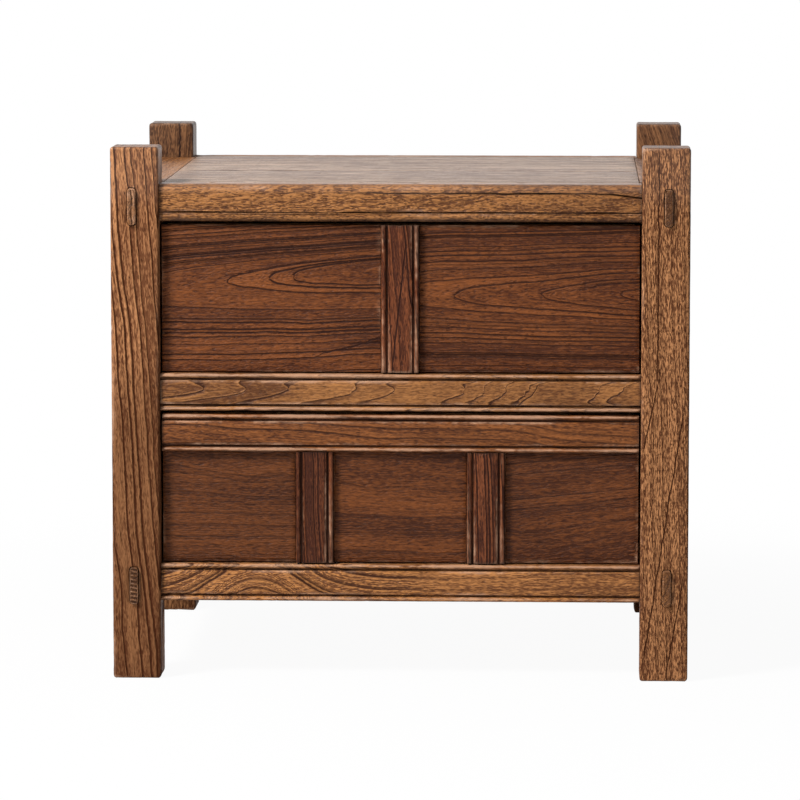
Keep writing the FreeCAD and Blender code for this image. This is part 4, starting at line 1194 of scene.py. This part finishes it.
def ridges(across, up):
    """Growth rings that stand out as nine ridges."""
    return 0.001 * (0.5 + 0.5 * math.cos(2 * math.pi * (up + 0.05 * across) * 9 / 2))


def split(across, up):
    """A long crack up the middle."""
    return 0.0014 * math.exp(-((across - 0.12 * math.sin(up * 5)) / 0.2) ** 2) * (1 - up ** 4)


def chipped_corner(across, up):
    """Faint rings, and a chip out of the upper left corner."""
    rings = 0.0003 * (0.5 + 0.5 * math.cos(18 * math.hypot(across * 0.25 - 0.4, up - 1.2)))
    return rings + 0.003 * max(0.0, 1 - math.hypot((across + 1) * 0.25, up - 1) / 0.3)


def slanting_crack(across, up):
    """A crack that runs from lower left to upper right."""
    return 0.0006 * math.exp(-((across - 1.6 * up) / 0.3) ** 2)


END_MARKS = {
    "top_rail_left": split,
    "top_rail_right": chipped_corner,
    "bottom_rail_left": ridges,
    "bottom_rail_right": slanting_crack,
}


def carve_ends(mesh, end, low, high, mark):
    """Cuts a mark into a through tenon's two ends: mark says how deep, across and up from -1 to 1."""
    step = 0.0007
    mesh.normal_update()
    middle, half = (low + high) / 2, (high - low) / 2
    for axis in (X, Z):
        count = round(half[axis] * 2 / step)
        for number in range(1, count):
            caps = [face for face in mesh.faces
                    if near(abs(face.calc_center_median().y), end) and abs(face.normal.y) > 0.99]
            edges = {edge for face in caps for edge in face.edges}
            verts = {vert for face in caps for vert in face.verts}
            place = low[axis] + half[axis] * 2 * number / count
            slice_at(mesh, axis, place, geom=[*verts, *edges, *caps])
            mesh.normal_update()
    for vert in mesh.verts:
        if near(abs(vert.co.y), end):
            depth = mark((vert.co.x - middle.x) / half.x, (vert.co.z - middle.z) / half.z)
            vert.co.y -= math.copysign(depth, vert.co.y)


def make_side_rail(node):
    """A side rail with its tenons right through the posts. The top one has a lip that runs past them."""
    side = side_of(node)
    level = node.split("_")[0]
    low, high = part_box(node)
    tenon_low, tenon_high = through_tenon(side, level)
    inner_x, inner_y = between_posts()
    end = high.y
    outer_x = high.x if side == "right" else low.x
    low.y, high.y = -inner_y, inner_y
    mesh = start_block(low, high)
    lip_low, lip_high = low.copy(), high.copy()
    if side == "right":
        lip_high.x = inner_x
    else:
        lip_low.x = -inner_x
    lip_length = -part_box("top_rail_front")[1].y - inner_y
    for sign in (-1, 1):
        grow(mesh, Y, sign, tenon_low, tenon_high, end - inner_y)
        if level == "top":
            grow(mesh, Y, sign, lip_low, lip_high, lip_length, at=sign * inner_y)

    def on_tenon(edge):
        return runs_along(edge, Y) and abs(middle_of(edge).y) > inner_y + 0.02

    def on_end(edge):
        return near(abs(middle_of(edge).y), end)

    ease(mesh, settings("joinery").through_round, 4, on_tenon)
    ease(mesh, 0.0012, 2, on_end)
    carve_ends(mesh, end, tenon_low, tenon_high, END_MARKS[node])
    ease(mesh, settings("mouldings").rail_easing, 3, edges_at(X, outer_x, along=Y))
    slice_evenly(mesh, Y, 0.006, -inner_y, inner_y)
    slice_evenly(mesh, Z, step=0.0035)
    post_face = end - 0.004
    seats = [(Y, sign * place) for place in (inner_y, post_face) for sign in (-1, 1)]
    rubbed = ((Y, -end),) if node == "top_rail_left" else ()
    weather(mesh, node, seats=seats, rubbed=rubbed)
    add_piece(mesh, node, wood_material(node, Y, outwards(node), settings("finish").rail))


def make_top_board(node):
    """A board of the top. The back one's front tongue goes into the front one's groove."""
    joinery = settings("joinery")
    finish = settings("finish")
    low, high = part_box(node)
    at_back = node == "top_board_back"
    tongue = joinery.tongue_length
    low.x += tongue
    high.x -= tongue
    low.y += tongue
    if at_back:
        high.y -= tongue
    mesh = start_block(low, high)
    middle_z = (low.z + high.z) / 2
    slot_low = Vector((low.x, low.y, middle_z - joinery.tongue_thickness / 2))
    slot_high = Vector((high.x, high.y, middle_z + joinery.tongue_thickness / 2))
    grow(mesh, Y, -1, slot_low, slot_high, tongue)
    grow(mesh, Y, 1, slot_low, slot_high, tongue if at_back else -tongue - 0.001)
    ease(mesh, settings("mouldings").vee, 2, edges_at(Z, high.z))
    for axis in (X, Y):
        slice_evenly(mesh, axis, step=0.008)
    weather(mesh, node)
    add_piece(mesh, node, wood_material(node, X, UP, finish.top, gloss=finish.top_gloss))


def tongue_corners(low, high, thin, thickness):
    """Corners of a tongue as thick as said, in the middle of a panel."""
    tongue_low, tongue_high = low.copy(), high.copy()
    middle = (low[thin] + high[thin]) / 2
    tongue_low[thin] = middle - thickness / 2
    tongue_high[thin] = middle + thickness / 2
    return tongue_low, tongue_high


def make_frame_panel(node):
    """A panel of the sides or back, with its tongues."""
    joinery = settings("joinery")
    low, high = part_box(node)
    at_side = node.startswith("side")
    thin, along = (X, Y) if at_side else (Y, X)
    inset = joinery.tongue_length + joinery.panel_gap
    for axis in (along, Z):
        low[axis] += inset
        high[axis] -= inset
    mesh = start_block(low, high)
    tongue_low, tongue_high = tongue_corners(low, high, thin, joinery.tongue_thickness)
    for axis in (along, Z):
        for sign, corner in ((-1, low), (1, high)):
            grow(mesh, axis, sign, tongue_low, tongue_high, inset, at=corner[axis])
    for axis in (along, Z):
        slice_evenly(mesh, axis, step=0.01)
    weather(mesh, node)
    facing = outwards(node) if at_side else TO_BACK
    add_piece(mesh, node, wood_material(node, along, facing, settings("finish").panel))


def make_face_panel(node):
    """A drawer panel, tongued into its mullions and, on the lower drawer, the rail above."""
    joinery = settings("joinery")
    low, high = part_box(node)
    tongue = joinery.face_tongue_length
    at_mullion = [sign for sign, side in ((-1, "left"), (1, "right")) if side not in node]
    if -1 in at_mullion:
        low.x += tongue
    if 1 in at_mullion:
        high.x -= tongue
    if node.startswith("lower"):
        high.z -= tongue
    mesh = start_block(low, high)
    tongue_low, tongue_high = tongue_corners(low, high, Y, joinery.face_tongue_thickness)
    for sign in at_mullion:
        grow(mesh, X, sign, tongue_low, tongue_high, tongue)
    if node.startswith("lower"):
        grow(mesh, Z, 1, tongue_low, tongue_high, tongue, at=high.z)
    ease(mesh, settings("mouldings").panel_easing, 2, edges_at(Y, low.y))
    for axis in (X, Z):
        slice_evenly(mesh, axis, step=0.005)
    rubbed = ()
    if node == "upper_panel_left":
        rubbed = ((X, high.x),)
        slice_evenly(mesh, X, 0.0015, high.x - 0.012, high.x)
        slice_evenly(mesh, Z, step=0.002)
    weather(mesh, node, rub=0.8, rubbed=rubbed)
    add_piece(mesh, node, wood_material(node, X, TO_FRONT, settings("finish").panel))


class NIGHTSTAND_OT_plain_rails(bpy.types.Operator):
    """Make the plain rails of the back and sides"""

    bl_idname = "nightstand.plain_rails"
    bl_label = "Make plain rails"

    def execute(self, context):
        for node in BACK_RAILS:
            make_back_rail(node)
        for level in ("bottom", "top"):
            for side in ("left", "right"):
                make_side_rail(f"{level}_rail_{side}")
        return {"FINISHED"}


class NIGHTSTAND_OT_top_boards(bpy.types.Operator):
    """Make the two boards of the top"""

    bl_idname = "nightstand.top_boards"
    bl_label = "Make top boards"

    def execute(self, context):
        make_top_board("top_board_front")
        make_top_board("top_board_back")
        return {"FINISHED"}


class NIGHTSTAND_OT_frame_panels(bpy.types.Operator):
    """Make the panels of the sides and back"""

    bl_idname = "nightstand.frame_panels"
    bl_label = "Make frame panels"

    def execute(self, context):
        for node in FRAME_PANELS:
            make_frame_panel(node)
        return {"FINISHED"}


class NIGHTSTAND_OT_drawer_faces(bpy.types.Operator):
    """Make the panels, mullions and rail of the drawers' faces"""

    bl_idname = "nightstand.drawer_faces"
    bl_label = "Make drawer faces"

    def execute(self, context):
        for node in frame["nodes"]:
            if node.startswith(("upper_panel", "lower_panel")):
                make_face_panel(node)
            elif "mullion" in node:
                make_mullion(node)
        make_beaded_rail("lower_face_rail", settings("finish").drawer_rail)
        return {"FINISHED"}


# Pieces whose shape comes from the frame
def inner_grain(node):
    """Grain direction and show face of an inner piece."""
    if node.startswith(("runner", "guide", "kicker", "top_batten", "upper_box_left", "upper_box_right",
                        "lower_box_left", "lower_box_right")):
        return Y, TO_RIGHT
    if node.endswith("box_bottom"):
        return X, UP
    return X, TO_FRONT


class NIGHTSTAND_OT_inner_pieces(bpy.types.Operator):
    """Finish the drawer boxes, runners, guides, stops and screws"""

    bl_idname = "nightstand.inner_pieces"
    bl_label = "Finish inner pieces"

    def execute(self, context):
        steel = steel_material()
        for node, piece in frame["nodes"].items():
            if piece.hide_render:
                continue
            if SLOTS[node] == "screw_steel":
                material = steel
            else:
                material = wood_material(node, *inner_grain(node), settings("finish").inner)
            piece.data.materials.clear()
            piece.data.materials.append(material)
        return {"FINISHED"}


# Stage
def seen_itself(graph):
    """1 where the camera sees a surface, itself, in a gloss or through glass, and 0 for light."""
    paths = graph.add("LightPath").outputs
    seen = graph.most(paths["Is Camera Ray"], paths["Is Glossy Ray"])
    return graph.most(seen, paths["Is Transmission Ray"])


def add_floor():
    """A pale floor that shows white to the camera and keeps a faint shadow near the object."""
    mesh = bmesh.new()
    bmesh.ops.create_grid(mesh, x_segments=1, y_segments=1, size=12)
    material, graph, shader, place = new_material("pale_floor")
    graph.fill(shader, {"Base Color": (0.86, 0.86, 0.86, 1), "Roughness": 0.9, "Specular IOR Level": 0.0})
    white = graph.add("Emission", {"Color": (1, 1, 1, 1), "Strength": 1.0})
    cover = graph.ramp(graph.length(place), 0.35, 1.1, 0.95, 1.0)
    mixed = graph.add("MixShader", {0: graph.times(seen_itself(graph), cover), 1: shader.outputs[0],
                                    2: white.outputs[0]})
    graph.fill(material.node_tree.nodes["Material Output"], {"Surface": mixed.outputs[0]})
    floor = set_down(mesh, "floor", material)


def add_world(strength):
    """A white world, at full strength for the camera and weaker as light."""
    world = bpy.data.worlds.new("studio")
    bpy.context.scene.world = world
    world.use_nodes = True
    graph = Graph(world.node_tree)
    level = graph.pile(strength, (seen_itself(graph), 1.0 - strength))
    graph.fill(world.node_tree.nodes["Background"], {"Color": (1, 1, 1, 1), "Strength": level})


def add_lamp(name, place, aim, power, width):
    data = bpy.data.lights.new(name, "AREA")
    data.energy = power
    data.shape = "SQUARE"
    data.size = width
    lamp = add_object(name, data)
    lamp.location = place
    lamp.rotation_euler = (Vector(aim) - Vector(place)).to_track_quat("-Z", "Y").to_euler()


class NIGHTSTAND_OT_stage(bpy.types.Operator):
    """Set up the camera, the lamps, the world and the floor"""

    bl_idname = "nightstand.stage"
    bl_label = "Set the stage"

    def execute(self, context):
        stage = settings("stage")
        data = bpy.data.cameras.new("camera")
        data.sensor_width = 36
        data.lens = stage.lens
        data.clip_end = 60
        camera = add_object("camera", data)
        camera.location = stage.camera
        camera.rotation_euler = (math.pi / 2 - stage.pitch, 0, stage.yaw)
        context.scene.camera = camera
        context.scene.view_settings.view_transform = "Standard"
        add_lamp("key", place=(-2.1, -2.0, 2.7), aim=(0, 0, 0.3), power=stage.key, width=0.8)
        add_world(stage.ambient)
        add_floor()
        return {"FINISHED"}


class NIGHTSTAND_PT_sidebar(bpy.types.Panel):
    """Lists the steps in the order in which they run"""

    bl_idname = "NIGHTSTAND_PT_sidebar"
    bl_label = "Nightstand"
    bl_space_type = "VIEW_3D"
    bl_region_type = "UI"
    bl_category = "Nightstand"

    def draw(self, context):
        for operator in OPERATORS:
            self.layout.operator(operator.bl_idname)
        for name in GROUP_NAMES:
            box = self.layout.box()
            box.label(text=name.title())
            group = settings(name)
            for prop in group.bl_rna.properties:
                if prop.identifier not in ("rna_type", "name"):
                    box.prop(group, prop.identifier)


OPERATORS = (
    NIGHTSTAND_OT_stage,
    NIGHTSTAND_OT_posts,
    NIGHTSTAND_OT_front_rails,
    NIGHTSTAND_OT_plain_rails,
    NIGHTSTAND_OT_top_boards,
    NIGHTSTAND_OT_frame_panels,
    NIGHTSTAND_OT_drawer_faces,
    NIGHTSTAND_OT_inner_pieces,
)
GROUP_NAMES = {
    "joinery": NightstandJoinery,
    "mouldings": NightstandMouldings,
    "wear": NightstandWear,
    "finish": NightstandFinish,
    "stage": NightstandStage,
}


def register():
    for kind in (*GROUP_NAMES.values(), *OPERATORS, NIGHTSTAND_PT_sidebar):
        bpy.utils.register_class(kind)
    for name, kind in GROUP_NAMES.items():
        setattr(bpy.types.Scene, "nightstand_" + name, PointerProperty(type=kind))


def unregister():
    for name in GROUP_NAMES:
        delattr(bpy.types.Scene, "nightstand_" + name)
    for kind in reversed((*GROUP_NAMES.values(), *OPERATORS, NIGHTSTAND_PT_sidebar)):
        bpy.utils.unregister_class(kind)


def main():
    register()
    for operator in OPERATORS:
        section, name = operator.bl_idname.split(".")
        getattr(getattr(bpy.ops, section), name)()


if __name__ == "__main__":
    main()
